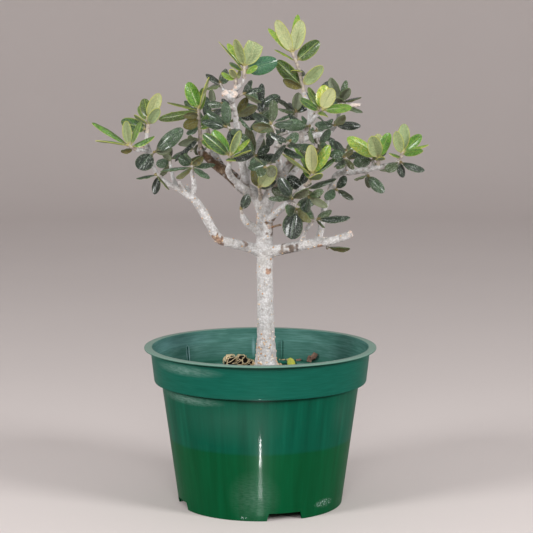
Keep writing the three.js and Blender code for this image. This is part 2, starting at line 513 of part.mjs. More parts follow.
function addObstacle(point, radius, owner) {
  obstacles.push({ point, radius, owner });
}

function bladeSamples(leaf, from) {
  const samples = [];
  for (let i = 0; i < 7; i++) {
    const u = from + (0.98 - from) * (i / 6);
    for (const v of [-0.9, -0.3, 0.3, 0.9]) samples.push(bladePoint(leaf, u, v));
  }
  return samples;
}

// Is the blade clear of all other wood and shoots, and its outer part of its own shoot's leaves?
function isClear(leaf, owner, checkOwn) {
  const outer = bladeSamples(leaf, 0.12);
  for (const { point, radius, owner: other } of obstacles) {
    if (other === owner && !checkOwn) continue;
    const reach = radius + bladeClearance;
    const first = other === owner ? 8 : 0;
    for (let i = first; i < outer.length; i++) {
      if (outer[i].distanceToSquared(point) < reach * reach) return false;
    }
  }
  return true;
}

function keepLeaf(shoot, leaf) {
  shoot.leaves.push(leaf);
  for (const point of bladeSamples(leaf, 0.12)) addObstacle(point, bladeClearance, shoot.index);
}

const woodOwner = -1;
for (const [, , rings] of limbs) {
  for (let i = 0; i < rings.length - 1; i++) {
    const from = new THREE.Vector3(...rings[i]);
    const to = new THREE.Vector3(...rings[i + 1]);
    const steps = Math.ceil(from.distanceTo(to) / 2);
    for (let k = 0; k <= steps; k++) {
      const radius = THREE.MathUtils.lerp(rings[i][3], rings[i + 1][3], k / steps);
      addObstacle(from.clone().lerp(to, k / steps), radius + woodClearance, woodOwner);
    }
  }
}

const plants = shoots.map(([name, age, pairs, line, set], index) => {
  const path = line.map((point) => new THREE.Vector3(...point));
  const length = pathLength(path);
  const axis = path[path.length - 1].clone().sub(path[0]).normalize();
  axis.z += 1;
  axis.normalize();
  const twigStart = (spurLength + jointGap) / length;
  for (let place = twigStart; place <= 1; place += 1.5 / length) {
    addObstacle(pointAt(path, place), twigBaseRadius + woodClearance, index);
  }
  return { name, index, age, pairs, set, path, length, axis, twigStart, leaves: [] };
});

// The leaves set by eye come first. One that meets a neighbour is moved in depth until it is clear.
const depthTries = [0, 3, -3, 6, -6, 9, -9, 12, -12, 15, -15];
for (const shoot of plants) {
  for (const [place, x, y, z, width, face] of shoot.set) {
    const base = pointAt(shoot.path, rootPlace(shoot, place));
    const tries = depthTries.map((shift) => (
      makeLeaf(base, new THREE.Vector3(x, y + shift, z), shoot.axis, width, face)
    ));
    const leaf = tries.find((blade) => isClear(blade, shoot.index, true))
      ?? tries.find((blade) => isClear(blade, shoot.index, false));
    if (leaf) keepLeaf(shoot, leaf);
  }
}

// Then filler leaves grow in opposite pairs, each pair a quarter turn on from the last.
const fillerTries = 6;
for (const shoot of plants) {
  const { index, path, axis, length, twigStart, pairs } = shoot;
  const sideways = new THREE.Vector3(1, 0, 0).addScaledVector(axis, -axis.x).normalize();
  for (let k = 0; k < pairs * 2; k++) {
    const pair = Math.floor(k / 2);
    const share = pairs === 1 ? 0.5 : pair / (pairs - 1);
    const base = pointAt(path, rootPlace(shoot, THREE.MathUtils.lerp(twigStart, 1, share)));
    for (let attempt = 0; attempt < fillerTries; attempt++) {
      const key = k * fillerTries + attempt;
      const turn = Math.PI * (pair / 2 + (k % 2)) + (draw(index, 0) + 0.2 * attempt) * Math.PI;
      const spread = THREE.MathUtils.degToRad(50 + 35 * draw(index, 3 * key + 1));
      const size = 12.5 + 6 * draw(index, 3 * key + 2);
      const direction = axis.clone().multiplyScalar(Math.cos(spread))
        .addScaledVector(sideways.clone().applyAxisAngle(axis, turn), Math.sin(spread));
      const leaf = makeLeaf(base, base.clone().addScaledVector(direction, size), axis, size * 0.42, 0);
      if (isClear(leaf, index, true)) {
        keepLeaf(shoot, leaf);
        break;
      }
    }
  }
}

// ---- the pieces ----

const ledgeZ = pot.shoulderZ + pot.wall;

// The tapered body's outer radius at a height.
function bodyRadius(z) {
  return pot.baseRadius + ((pot.shoulderRadius - pot.baseRadius) * z) / pot.shoulderZ;
}

function potSolid() {
  const { height, baseRadius, shoulderRadius, shoulderZ, bandLowRadius, bandTopRadius, bandEdge } = pot;
  const { lipRadius, lipThickness, wall, floorZ } = pot;
  const lipZ = height - lipThickness;
  let solid = toSolid(turned([
    [0, floorZ - wall], [baseRadius - wall, floorZ - wall], [baseRadius - wall, 0], [baseRadius, 0],
    [shoulderRadius, shoulderZ], [bandLowRadius - bandEdge, shoulderZ],
    [bandLowRadius, shoulderZ + bandEdge], [bandTopRadius, lipZ - 1], [lipRadius, lipZ],
    [lipRadius, height], [bandTopRadius - wall, height], [bandLowRadius - wall, ledgeZ + 0.6],
    [shoulderRadius - wall, ledgeZ], [bodyRadius(floorZ) - wall, floorZ], [0, floorZ],
  ], pot.sides));
  const { count, turnDeg, width, flare, height: notchHeight, depth } = pot.footNotches;
  const { radius: holeRadius, fromAxis, sides } = pot.drainHoles;
  const outline = new THREE.Shape([
    new THREE.Vector2(-width / 2, notchHeight), new THREE.Vector2(-(width + flare) / 2, -1),
    new THREE.Vector2((width + flare) / 2, -1), new THREE.Vector2(width / 2, notchHeight),
  ]);
  for (let i = 0; i < count; i++) {
    const turn = THREE.MathUtils.degToRad(turnDeg + (360 / count) * i);
    const notch = new THREE.ExtrudeGeometry(outline, { depth, bevelEnabled: false });
    notch.rotateX(Math.PI / 2).translate(0, depth / 2 - baseRadius, 0).rotateZ(turn);
    const drain = new THREE.CylinderGeometry(holeRadius, holeRadius, 4 * wall, sides);
    drain.rotateX(Math.PI / 2).translate(0, -fromAxis, floorZ).rotateZ(turn);
    solid = solid.subtract(toSolid(notch)).subtract(toSolid(drain));
  }
  return solid;
}

const [trunkX] = limbs[0][2][0];

function soilHeight(x, y) {
  const fromTrunk = Math.hypot(x - trunkX, y);
  const share = THREE.MathUtils.clamp((fromTrunk - soil.holeRadius) / soil.slopeLength, 0, 1);
  const mound = THREE.MathUtils.lerp(soil.edgeZ, soil.crownZ, Math.pow(1 - share, soil.slopePower));
  return mound + soil.relief * Math.sin(0.21 * x + 1) * Math.cos(0.17 * y);
}

function soilSolid() {
  const { gap, edgeZ, holeRadius, holeFloorZ, holeSides, rings } = soil;
  const inside = pot.wall + gap;
  const floor = pot.floorZ + gap;
  const edgeRadius = bodyRadius(edgeZ) - inside;
  const geometry = turned([
    [0, floor], [bodyRadius(floor) - inside, floor], [edgeRadius, edgeZ],
    ...rings.map((radius) => [radius, edgeZ]), [0, edgeZ],
  ], pot.sides);
  const places = geometry.attributes.position;
  for (let i = 0; i < places.count; i++) {
    const [x, y, z] = [places.getX(i), places.getY(i), places.getZ(i)];
    if (z > edgeZ - 0.01 && Math.hypot(x, y) < edgeRadius - 1) places.setZ(i, soilHeight(x, y));
  }
  const holeHeight = soil.crownZ + 10 - holeFloorZ;
  const hole = new THREE.CylinderGeometry(holeRadius, holeRadius, holeHeight, holeSides);
  hole.rotateX(Math.PI / 2).translate(trunkX, 0, holeFloorZ + holeHeight / 2);
  return toSolid(geometry).subtract(toSolid(hole));
}

// Every limb is a tube. A limb that ends where a shoot begins runs on into the shoot's line,
// and the other shoots grow from a short spur of their own.
function woodSolid() {
  const spurEnd = ({ path, length }) => pointAt(path, spurLength / length);
  const waiting = new Set(plants);
  const tubes = limbs.map(([, sides, rings]) => {
    const points = rings.map(([x, y, z]) => new THREE.Vector3(x, y, z));
    const radii = rings.map((ring) => ring[3]);
    for (const shoot of waiting) {
      if (shoot.path[0].distanceTo(points[rings.length - 1]) > limbEndReach) continue;
      points.push(spurEnd(shoot));
      radii.push(spurRadius);
      waiting.delete(shoot);
      break;
    }
    return tube(points, radii, sides);
  });
  for (const shoot of waiting) {
    tubes.push(tube([shoot.path[0], spurEnd(shoot)], [spurRadius + 0.3, spurRadius], spurSides));
  }
  return join(tubes);
}

function shootSolid({ path, length, twigStart, leaves }) {
  const steps = Math.max(2, path.length - 1);
  const points = [];
  const radii = [];
  for (let i = 0; i <= steps; i++) {
    points.push(pointAt(path, twigStart + (1 - twigStart) * (i / steps)));
    radii.push(THREE.MathUtils.lerp(twigBaseRadius, twigTipRadius, i / steps));
  }
  return join([tube(points, radii, twigSides), ...leaves.map(bladeSolid)]);
}

const potBody = potSolid();
const soilBody = soilSolid();

// What lies on the soil is cut to its surface, a joint's gap above it.
function seatedOnSoil(solid) {
  return solid.subtract(soilBody.translate([0, 0, jointGap]));
}

// Crumbs of bark and moss, fused in one clump round a core.
function clumpSolid() {
  const { crumbs, from, spread, size, sizeSpread, lift, liftSpread, core } = clump;
  const parts = [];
  for (let i = 0; i < crumbs; i++) {
    const x = from[0] + spread[0] * draw(100, i);
    const y = from[1] + spread[1] * draw(101, i);
    const crumb = new THREE.IcosahedronGeometry(size + sizeSpread * draw(102, i), 0).rotateX(i).rotateZ(2 * i);
    parts.push(crumb.translate(x, y, soilHeight(x, y) + lift + liftSpread * draw(103, i)));
  }
  const [x, y] = core.at;
  parts.push(new THREE.BoxGeometry(...core.size).translate(x, y, soilHeight(x, y) + core.lift));
  return seatedOnSoil(join(parts));
}

// A bent chip of bark.
function chipSolid() {
  const blocks = chip.blocks.map(({ at, lean }) => (
    new THREE.BoxGeometry(...chip.size).rotateY(THREE.MathUtils.degToRad(lean)).translate(...at)
  ));
  return join(blocks).subtract(potBody.translate([0, 0, jointGap]));
}

function fallenLeafSolid() {
  const root = new THREE.Vector3(...fallenLeaf.root);
  const tip = new THREE.Vector3(...fallenLeaf.tip);
  const leaf = makeLeaf(root, tip, new THREE.Vector3(0, -1, 0), fallenLeaf.width, 0);
  return seatedOnSoil(toSolid(bladeSolid(leaf)));
}

// ---- materials and the finished group ----

function finish(color, roughness) {
  return new THREE.MeshStandardMaterial({ color, roughness, metalness: 0 });
}

const potPlastic = finish(0x14583f, 0.45);
const darkSoil = finish(0x3a2f26, 0.95);
const paleBark = finish(0xcfc8bf, 0.85);
const oldLeaf = finish(0x3c4f37, 0.6);
const newLeaf = finish(0x86a83a, 0.5);
const moss = finish(0x9c8a6a, 0.95);
const redBark = finish(0x5d3526, 0.9);

function piece(name, solid, material) {
  const mesh = new THREE.Mesh(toGeometry(solid), material);
  mesh.name = name;
  return mesh;
}

const bonsai = new THREE.Group();
bonsai.add(
  piece('pot', potBody, potPlastic),
  piece('soil', soilBody, darkSoil),
  piece('trunk_and_branches', woodSolid(), paleBark),
  piece('potting_clump', clumpSolid(), moss),
  piece('bark_chip', chipSolid(), redBark),
  piece('fallen_leaf', fallenLeafSolid(), newLeaf),
);
for (const shoot of plants) {
  const name = `shoot_${shoot.name.replaceAll(' ', '_')}`;
  bonsai.add(piece(name, shootSolid(shoot), shoot.age === 'new' ? newLeaf : oldLeaf));
}

export default bonsai;
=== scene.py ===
import math
import random

import bpy
import numpy as np
from mathutils import Matrix, Vector, noise


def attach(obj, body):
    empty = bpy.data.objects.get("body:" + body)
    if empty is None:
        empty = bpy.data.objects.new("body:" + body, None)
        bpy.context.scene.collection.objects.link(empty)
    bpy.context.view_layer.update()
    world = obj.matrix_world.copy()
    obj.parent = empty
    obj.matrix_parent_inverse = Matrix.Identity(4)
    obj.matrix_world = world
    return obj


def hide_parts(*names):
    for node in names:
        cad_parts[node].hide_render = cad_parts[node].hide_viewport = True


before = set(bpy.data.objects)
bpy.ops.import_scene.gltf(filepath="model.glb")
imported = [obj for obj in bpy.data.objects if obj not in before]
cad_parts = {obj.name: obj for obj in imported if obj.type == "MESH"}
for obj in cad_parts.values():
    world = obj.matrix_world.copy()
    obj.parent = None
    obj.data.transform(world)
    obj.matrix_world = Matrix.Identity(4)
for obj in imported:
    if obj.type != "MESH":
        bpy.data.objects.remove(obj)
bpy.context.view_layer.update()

# A small olive grown as a bonsai in a round nursery pot. Sizes are in millimetres until a mesh is made.
mm = 0.001
rootBody = "root"
anyTurn = 6.28      # upper end of a random turn, in radians
seeds = {"soil": 11, "crumbs": 5, "grit": 6, "flakes": 8, "clump": 21, "bark chip": 3, "lenticels": 31,
         "shoots": 1000, "fallen leaf": 77}


# nodes and materials

def srgb(hexColour, alpha=1.0):
    parts = [int(hexColour[i:i + 2], 16) / 255 for i in (1, 3, 5)]
    return (*[p / 12.92 if p <= 0.04045 else ((p + 0.055) / 1.055) ** 2.4 for p in parts], alpha)


def addNode(tree, kind, settings):
    # each setting is a property of the node, the value of a socket, or the socket that feeds it
    node = tree.nodes.new(kind)
    for key, value in settings.items():
        if key == "stops":
            ends = node.color_ramp.elements
            while len(ends) < len(value):
                ends.new(1.0)
            for stop, (place, colour) in zip(ends, value):
                stop.position = place
                stop.color = srgb(colour) if isinstance(colour, str) else (colour, colour, colour, 1)
        elif isinstance(value, bpy.types.NodeSocket):
            tree.links.new(value, node.inputs[key])
        elif isinstance(key, str) and hasattr(node, key):
            setattr(node, key, value)
        else:
            node.inputs[key].default_value = srgb(value) if isinstance(value, str) else value
    return node


def newMaterial(name, shader):
    # a material with its Principled shader, whose constant values are set on its own sockets
    material = bpy.data.materials.new(name)
    material.use_nodes = True
    tree = material.node_tree
    tree.nodes.clear()
    surface = addNode(tree, "ShaderNodeBsdfPrincipled", shader)
    addNode(tree, "ShaderNodeOutputMaterial", {"Surface": surface.outputs[0]})
    return material, tree, surface


def objectPlace(tree):
    return addNode(tree, "ShaderNodeTexCoord", {}).outputs["Object"]


def noiseAt(tree, place, scale, detail, roughness=0.5):
    return addNode(tree, "ShaderNodeTexNoise", {
        "Scale": scale, "Detail": detail, "Roughness": roughness, "Vector": place}).outputs[0]


def cellsAt(tree, place, scale, feature="F1"):
    return addNode(tree, "ShaderNodeTexVoronoi", {"feature": feature, "Scale": scale, "Vector": place}).outputs[0]


def calc(tree, operation, *values):
    return addNode(tree, "ShaderNodeMath", {"operation": operation, **dict(enumerate(values))}).outputs[0]


def ramp(tree, value, *stops):
    return addNode(tree, "ShaderNodeValToRGB", {"stops": stops, 0: value}).outputs[0]


def fade(tree, value, low, high, start=0.0, end=1.0):
    # start where the value is low, end where it is high
    return addNode(tree, "ShaderNodeMapRange", {
        "From Min": low, "From Max": high, "To Min": start, "To Max": end, "Value": value}).outputs[0]


def mixed(tree, share, first, second):
    return addNode(tree, "ShaderNodeMix", {"data_type": "RGBA", 0: share, 6: first, 7: second}).outputs[2]


def dress(tree, surface, tone, height, strength, depth):
    # colour and fine relief, whose depth is in mm
    tree.links.new(tone, surface.inputs["Base Color"])
    bump = addNode(tree, "ShaderNodeBump", {"Strength": strength, "Distance": depth * mm, "Height": height})
    tree.links.new(bump.outputs[0], surface.inputs["Normal"])


# modelling

def putDown():
    if bpy.context.object and bpy.context.object.mode != "OBJECT":
        bpy.ops.object.mode_set(mode="OBJECT")
    bpy.ops.object.select_all(action="DESELECT")


def pickUp(*pieces):
    putDown()
    for piece in pieces:
        piece.select_set(True)
    bpy.context.view_layer.objects.active = pieces[0]


def newShape(addPrimitive, **settings):
    putDown()
    addPrimitive(**settings)
    return bpy.context.object


def openAll(piece, kind=None):
    # the piece in edit mode with all of it selected
    pickUp(piece)
    bpy.ops.object.mode_set(mode="EDIT")
    if kind:
        bpy.ops.mesh.select_mode(type=kind)
    bpy.ops.mesh.select_all(action="SELECT")


def drawOut(section):
    # extrudes the selected ring through every (radius, height) of the section, in mm
    for (radius, height), (nextRadius, nextHeight) in zip(section, section[1:]):
        bpy.ops.mesh.extrude_edges_move(TRANSFORM_OT_translate={"value": (0, 0, (nextHeight - height) * mm)})
        growBy = nextRadius / radius
        bpy.ops.transform.resize(value=(growBy, growBy, 1), center_override=(0, 0, nextHeight * mm))


def fillEnd():
    # closes the last ring of a drawn-out piece
    bpy.ops.mesh.edge_face_add()
    bpy.ops.mesh.select_all(action="SELECT")
    bpy.ops.mesh.normals_make_consistent(inside=False)
    bpy.ops.object.mode_set(mode="OBJECT")
    bpy.ops.object.transform_apply(location=True, rotation=True, scale=True)


def finishWith(piece, kind, **settings):
    pickUp(piece)
    modifier = piece.modifiers.new(kind.title(), kind)
    for key, value in settings.items():
        setattr(modifier, key, value)
    bpy.ops.object.modifier_apply(modifier=modifier.name)


def joinPieces(name, pieces):
    pickUp(*pieces)
    if len(pieces) > 1:
        bpy.ops.object.join()
    joined = bpy.context.object
    joined.name = name
    joined.data.name = name
    return joined


def closeUp(piece):
    # doubles are merged before the normals are turned outwards
    openAll(piece)
    bpy.ops.mesh.remove_doubles(threshold=0.01 * mm)
    bpy.ops.mesh.normals_make_consistent(inside=False)
    bpy.ops.object.mode_set(mode="OBJECT")


def smoothTo(piece, degrees):
    pickUp(piece)
    bpy.ops.object.shade_smooth_by_angle(angle=math.radians(degrees))


def standFor(piece, node):
    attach(piece, rootBody)
    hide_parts(node)


def copyOf(model, name):
    copy = model.copy()
    copy.data = model.data.copy()
    copy.name = name
    bpy.context.scene.collection.objects.link(copy)
    return copy


def tubesThrough(name, lines, sides):
    # lines is a list of [(point, radius), ...] in mm; each becomes a smooth round tube
    putDown()
    bpy.ops.curve.primitive_bezier_curve_add()
    curve = bpy.context.object
    curve.name = name
    curve.data.splines.clear()
    curve.data.dimensions = "3D"
    curve.data.bevel_depth = mm
    curve.data.bevel_resolution = sides
    curve.data.use_fill_caps = True
    for line in lines:
        spline = curve.data.splines.new("BEZIER")
        spline.bezier_points.add(len(line) - 1)
        spline.resolution_u = 6
        for knot, (point, radius) in zip(spline.bezier_points, line):
            knot.co = Vector(point) * mm
            knot.radius = radius
            knot.handle_left_type = knot.handle_right_type = "AUTO"
    pickUp(curve)
    bpy.ops.object.convert(target="MESH")
    return bpy.context.object


def moveVertices(piece, rule):
    # rule takes the vertex's place in mm and gives the new one
    for vertex in piece.data.vertices:
        vertex.co = Vector(rule(vertex.co / mm)) * mm


def vertexData(mesh, kind):
    flat = np.zeros(len(mesh.vertices) * 3)
    mesh.vertices.foreach_get(kind, flat)
    return flat.reshape(-1, 3)


def paintVertices(mesh, name, colours):
    layer = mesh.attributes.new(name, "FLOAT_COLOR", "POINT")
    layer.data.foreach_set("color", colours.astype(np.float32).ravel())


# the view

camera = {
    "place": (0, -1286.6, 336),
    "pitch": 0.1288,    # radians below the level
    "lens": 123.86,
    "shift": 0.0116,
}

bpy.ops.object.camera_add(
    location=Vector(camera["place"]) * mm, rotation=(math.pi / 2 - camera["pitch"], 0, 0))
viewCamera = bpy.context.object
viewCamera.data.lens = camera["lens"]
viewCamera.data.sensor_width = 36
viewCamera.data.shift_x = camera["shift"]
viewCamera.data.clip_start = 0.01
viewCamera.data.clip_end = 50
viewCamera.data.dof.use_dof = False
bpy.context.scene.camera = viewCamera
print("camera set")


# the wood: name, then [x, y, z, radius] along each limb, as in the part's source
limbs = [
  ["trunk", [
    [4.1, 0, 71, 7.5], [4.1, 0, 91, 9.4], [4.1, 0, 98, 8.9], [4.1, 0, 104, 7.6], [4, 0, 117, 6.5],
    [3.5, 0, 146, 5.8], [3, 0, 176, 5.8], [3, 0, 195, 6.0], [3, 0, 203, 5.6], [3, 0, 212, 5.1],
  ]],
  ["left limb", [
    [3, 0, 208, 5.2], [-3, 2, 219, 4.9], [-12, 6, 225, 4.7], [-21, 10, 233, 4.3], [-31, 13, 240, 3.7],
    [-38, 14, 246, 3.0], [-43, 12, 251, 2.3],
  ]],
  ["left lower branch", [
    [3, 0, 178.5, 4.4], [-7, -3, 183.2, 3.8], [-21, -8, 187.2, 3.5], [-28.5, -10, 190, 3.5],
    [-34, -12, 198.3, 3.3], [-40.3, -15, 210.3, 3.1], [-46.6, -18, 219.2, 2.9], [-51, -19, 222, 2.6],
  ]],
  ["left fork", [
    [-49, -18, 221, 2.5], [-58, -20, 227, 2.1], [-66, -20, 231, 1.9], [-72, -18, 237, 1.8],
    [-75, -16, 244, 1.7], [-77, -14, 252, 1.7], [-79, -13, 258, 1.5], [-79, -12, 262, 1.4],
  ]],
  ["left fork side", [[-77, -14, 251, 1.6], [-82, -18, 253, 1.5], [-85, -20, 253, 1.4]]],
  ["left fork nub", [[-78, -14, 251, 1.6], [-81, -11, 253, 1.6], [-84, -10, 256, 1.4]]],
  ["left inner fork", [
    [-49, -18, 220, 2.4], [-46, -21, 226, 1.9], [-46, -23, 232, 1.7], [-47, -24, 237, 1.5],
  ]],
  ["left back twig", [
    [-58, -20, 227, 2.0], [-60, -8, 230, 1.6], [-62, 4, 234, 1.4], [-63, 10, 238, 1.3],
  ]],
  ["left stub a", [[-49, -18, 223, 2.0], [-52, -14, 228, 1.5]]],
  ["left stub b", [[-53, -19, 224, 1.8], [-56, -26, 232, 1.3]]],
  ["lower stub", [
    [3, 0, 189, 3.4], [-4, -7, 197.5, 3.0], [-9.5, -11, 202, 2.6], [-12, -13, 206, 2.2],
  ]],
  ["front left branch", [
    [-3, 1, 218, 3.6], [-10, -8, 224, 2.9], [-17, -18, 231, 2.4], [-22, -27, 239, 2.1],
    [-21, -33, 244, 1.8],
  ]],
  ["white upright", [
    [-10, 6, 222, 3.4], [-11, 3, 232, 3.1], [-13, 0, 243, 2.7], [-15, -2, 252, 2.5], [-16, -4, 264, 2.3],
    [-17, -6, 273, 2.1], [-18, -7, 280, 2.0], [-20, -8, 287, 1.9], [-20, -8, 289.5, 2.0],
    [-20, -8, 292, 3.3], [-20, -8, 294, 3.0],
  ]],
  ["upright stub left", [[-20, -8, 289, 1.8], [-25, -5, 293, 1.5]]],
  ["upright stub right", [[-20, -8, 291, 1.8], [-17, -9, 296, 1.5]]],
  ["upright cut left", [[-20, -8, 286, 1.9], [-22, -14, 289.5, 2.3], [-25, -16, 293, 2.7]]],
  ["upright cut right", [[-20, -8, 286, 1.9], [-19.5, -14, 289.5, 2.3], [-17, -16, 292.5, 2.5]]],
  ["upright twig", [[-20, -8, 291, 1.6], [-15, -11, 296, 1.4], [-12, -13, 300, 1.3]]],
  ["inner left branch", [
    [-9, 5, 223, 3.0], [-10, 10, 233, 2.6], [-7, 14, 244, 2.3], [-2, 17, 254, 2.0], [1, 19, 260, 1.8],
    [3, 22, 269, 1.6],
  ]],
  ["back left branch", [
    [-27, 12, 238, 2.8], [-33, 27, 248, 2.3], [-37, 40, 258, 2.0], [-39, 50, 269, 1.6],
  ]],
  ["back middle branch", [
    [-10, 9, 231, 2.4], [-10, 26, 241, 2.1], [-6, 42, 255, 1.8], [-2, 52, 268, 1.5],
  ]],
  ["centre stem", [
    [3, 0, 210, 4.4], [7, -5, 223, 4.0], [14, -12, 234, 3.6], [18, -16, 241, 3.2], [22, -17, 249, 2.9],
    [25, -16, 255, 2.7], [28, -12, 263, 2.5], [35, -10, 270, 2.1],
  ]],
  ["centre front branch", [
    [12, -11, 230, 2.8], [13, -27, 245, 2.3], [11, -38, 255, 1.9], [10, -44, 264, 1.6],
  ]],
  ["centre twig", [[21, -17, 246, 1.9], [22, -4, 258, 1.7], [22, 4, 267, 1.5], [24, 6, 273, 1.3]]],
  ["leader", [[34, -11, 268, 2.2], [35, -6, 279, 2.1], [31, -3, 290, 2.0]]],
  ["upper right twig", [[34, -10, 268, 1.9], [37, -16, 275, 1.7], [39, -19, 277, 1.5]]],
  ["right behind", [
    [27, -13, 259, 2.2], [39, 2, 262, 2.0], [50, 10, 265, 1.9], [54, 14, 271, 1.7], [56, 16, 279, 1.5],
  ]],
  ["right behind stub", [[55, 14, 274, 1.5], [58, 4, 281, 1.5], [63, -2, 283, 1.5], [70, -4, 283.5, 1.4]]],
  ["back right branch", [
    [5, 2, 211, 3.6], [11, 20, 219, 3.1], [21, 36, 229, 2.6], [31, 50, 241, 2.2], [39, 58, 253, 1.7],
  ]],
  ["right inner branch", [
    [5, 0, 201, 3.0], [11, -8, 208, 2.4], [19, -15, 216, 2.1], [25, -20, 223, 1.9], [29, -25, 228, 1.7],
  ]],
  ["right lower branch", [
    [4, 0, 179, 4.4], [16, -5, 182.3, 3.8], [28, -10, 185.4, 3.7], [41, -14, 188, 3.5], [50, -16, 189.6, 2.9],
    [64, -18, 195, 2.5],
  ]],
  ["right thin twig", [[28, -10, 186, 2.0], [31, -16, 195, 1.5], [34, -21, 201, 1.3]]],
  ["right upright", [
    [40, -13, 189, 2.7], [42, -13, 195, 2.4], [44, -10, 208, 2.2], [47, -8, 217, 2.2],
    [50, -6, 227, 2.2], [54, -6, 235, 2.3], [64, -8, 237, 2.3], [76, -10, 239, 2.1], [89, -12, 242, 1.8],
    [95, -13, 244, 1.5],
  ]],
  ["right upright front", [[58, -8, 236, 1.9], [60, -22, 241, 1.6], [59, -32, 245, 1.3]]],
  ["right back twig", [[49, -6, 224, 1.8], [54, 10, 231, 1.5], [61, 26, 239, 1.3]]],
]

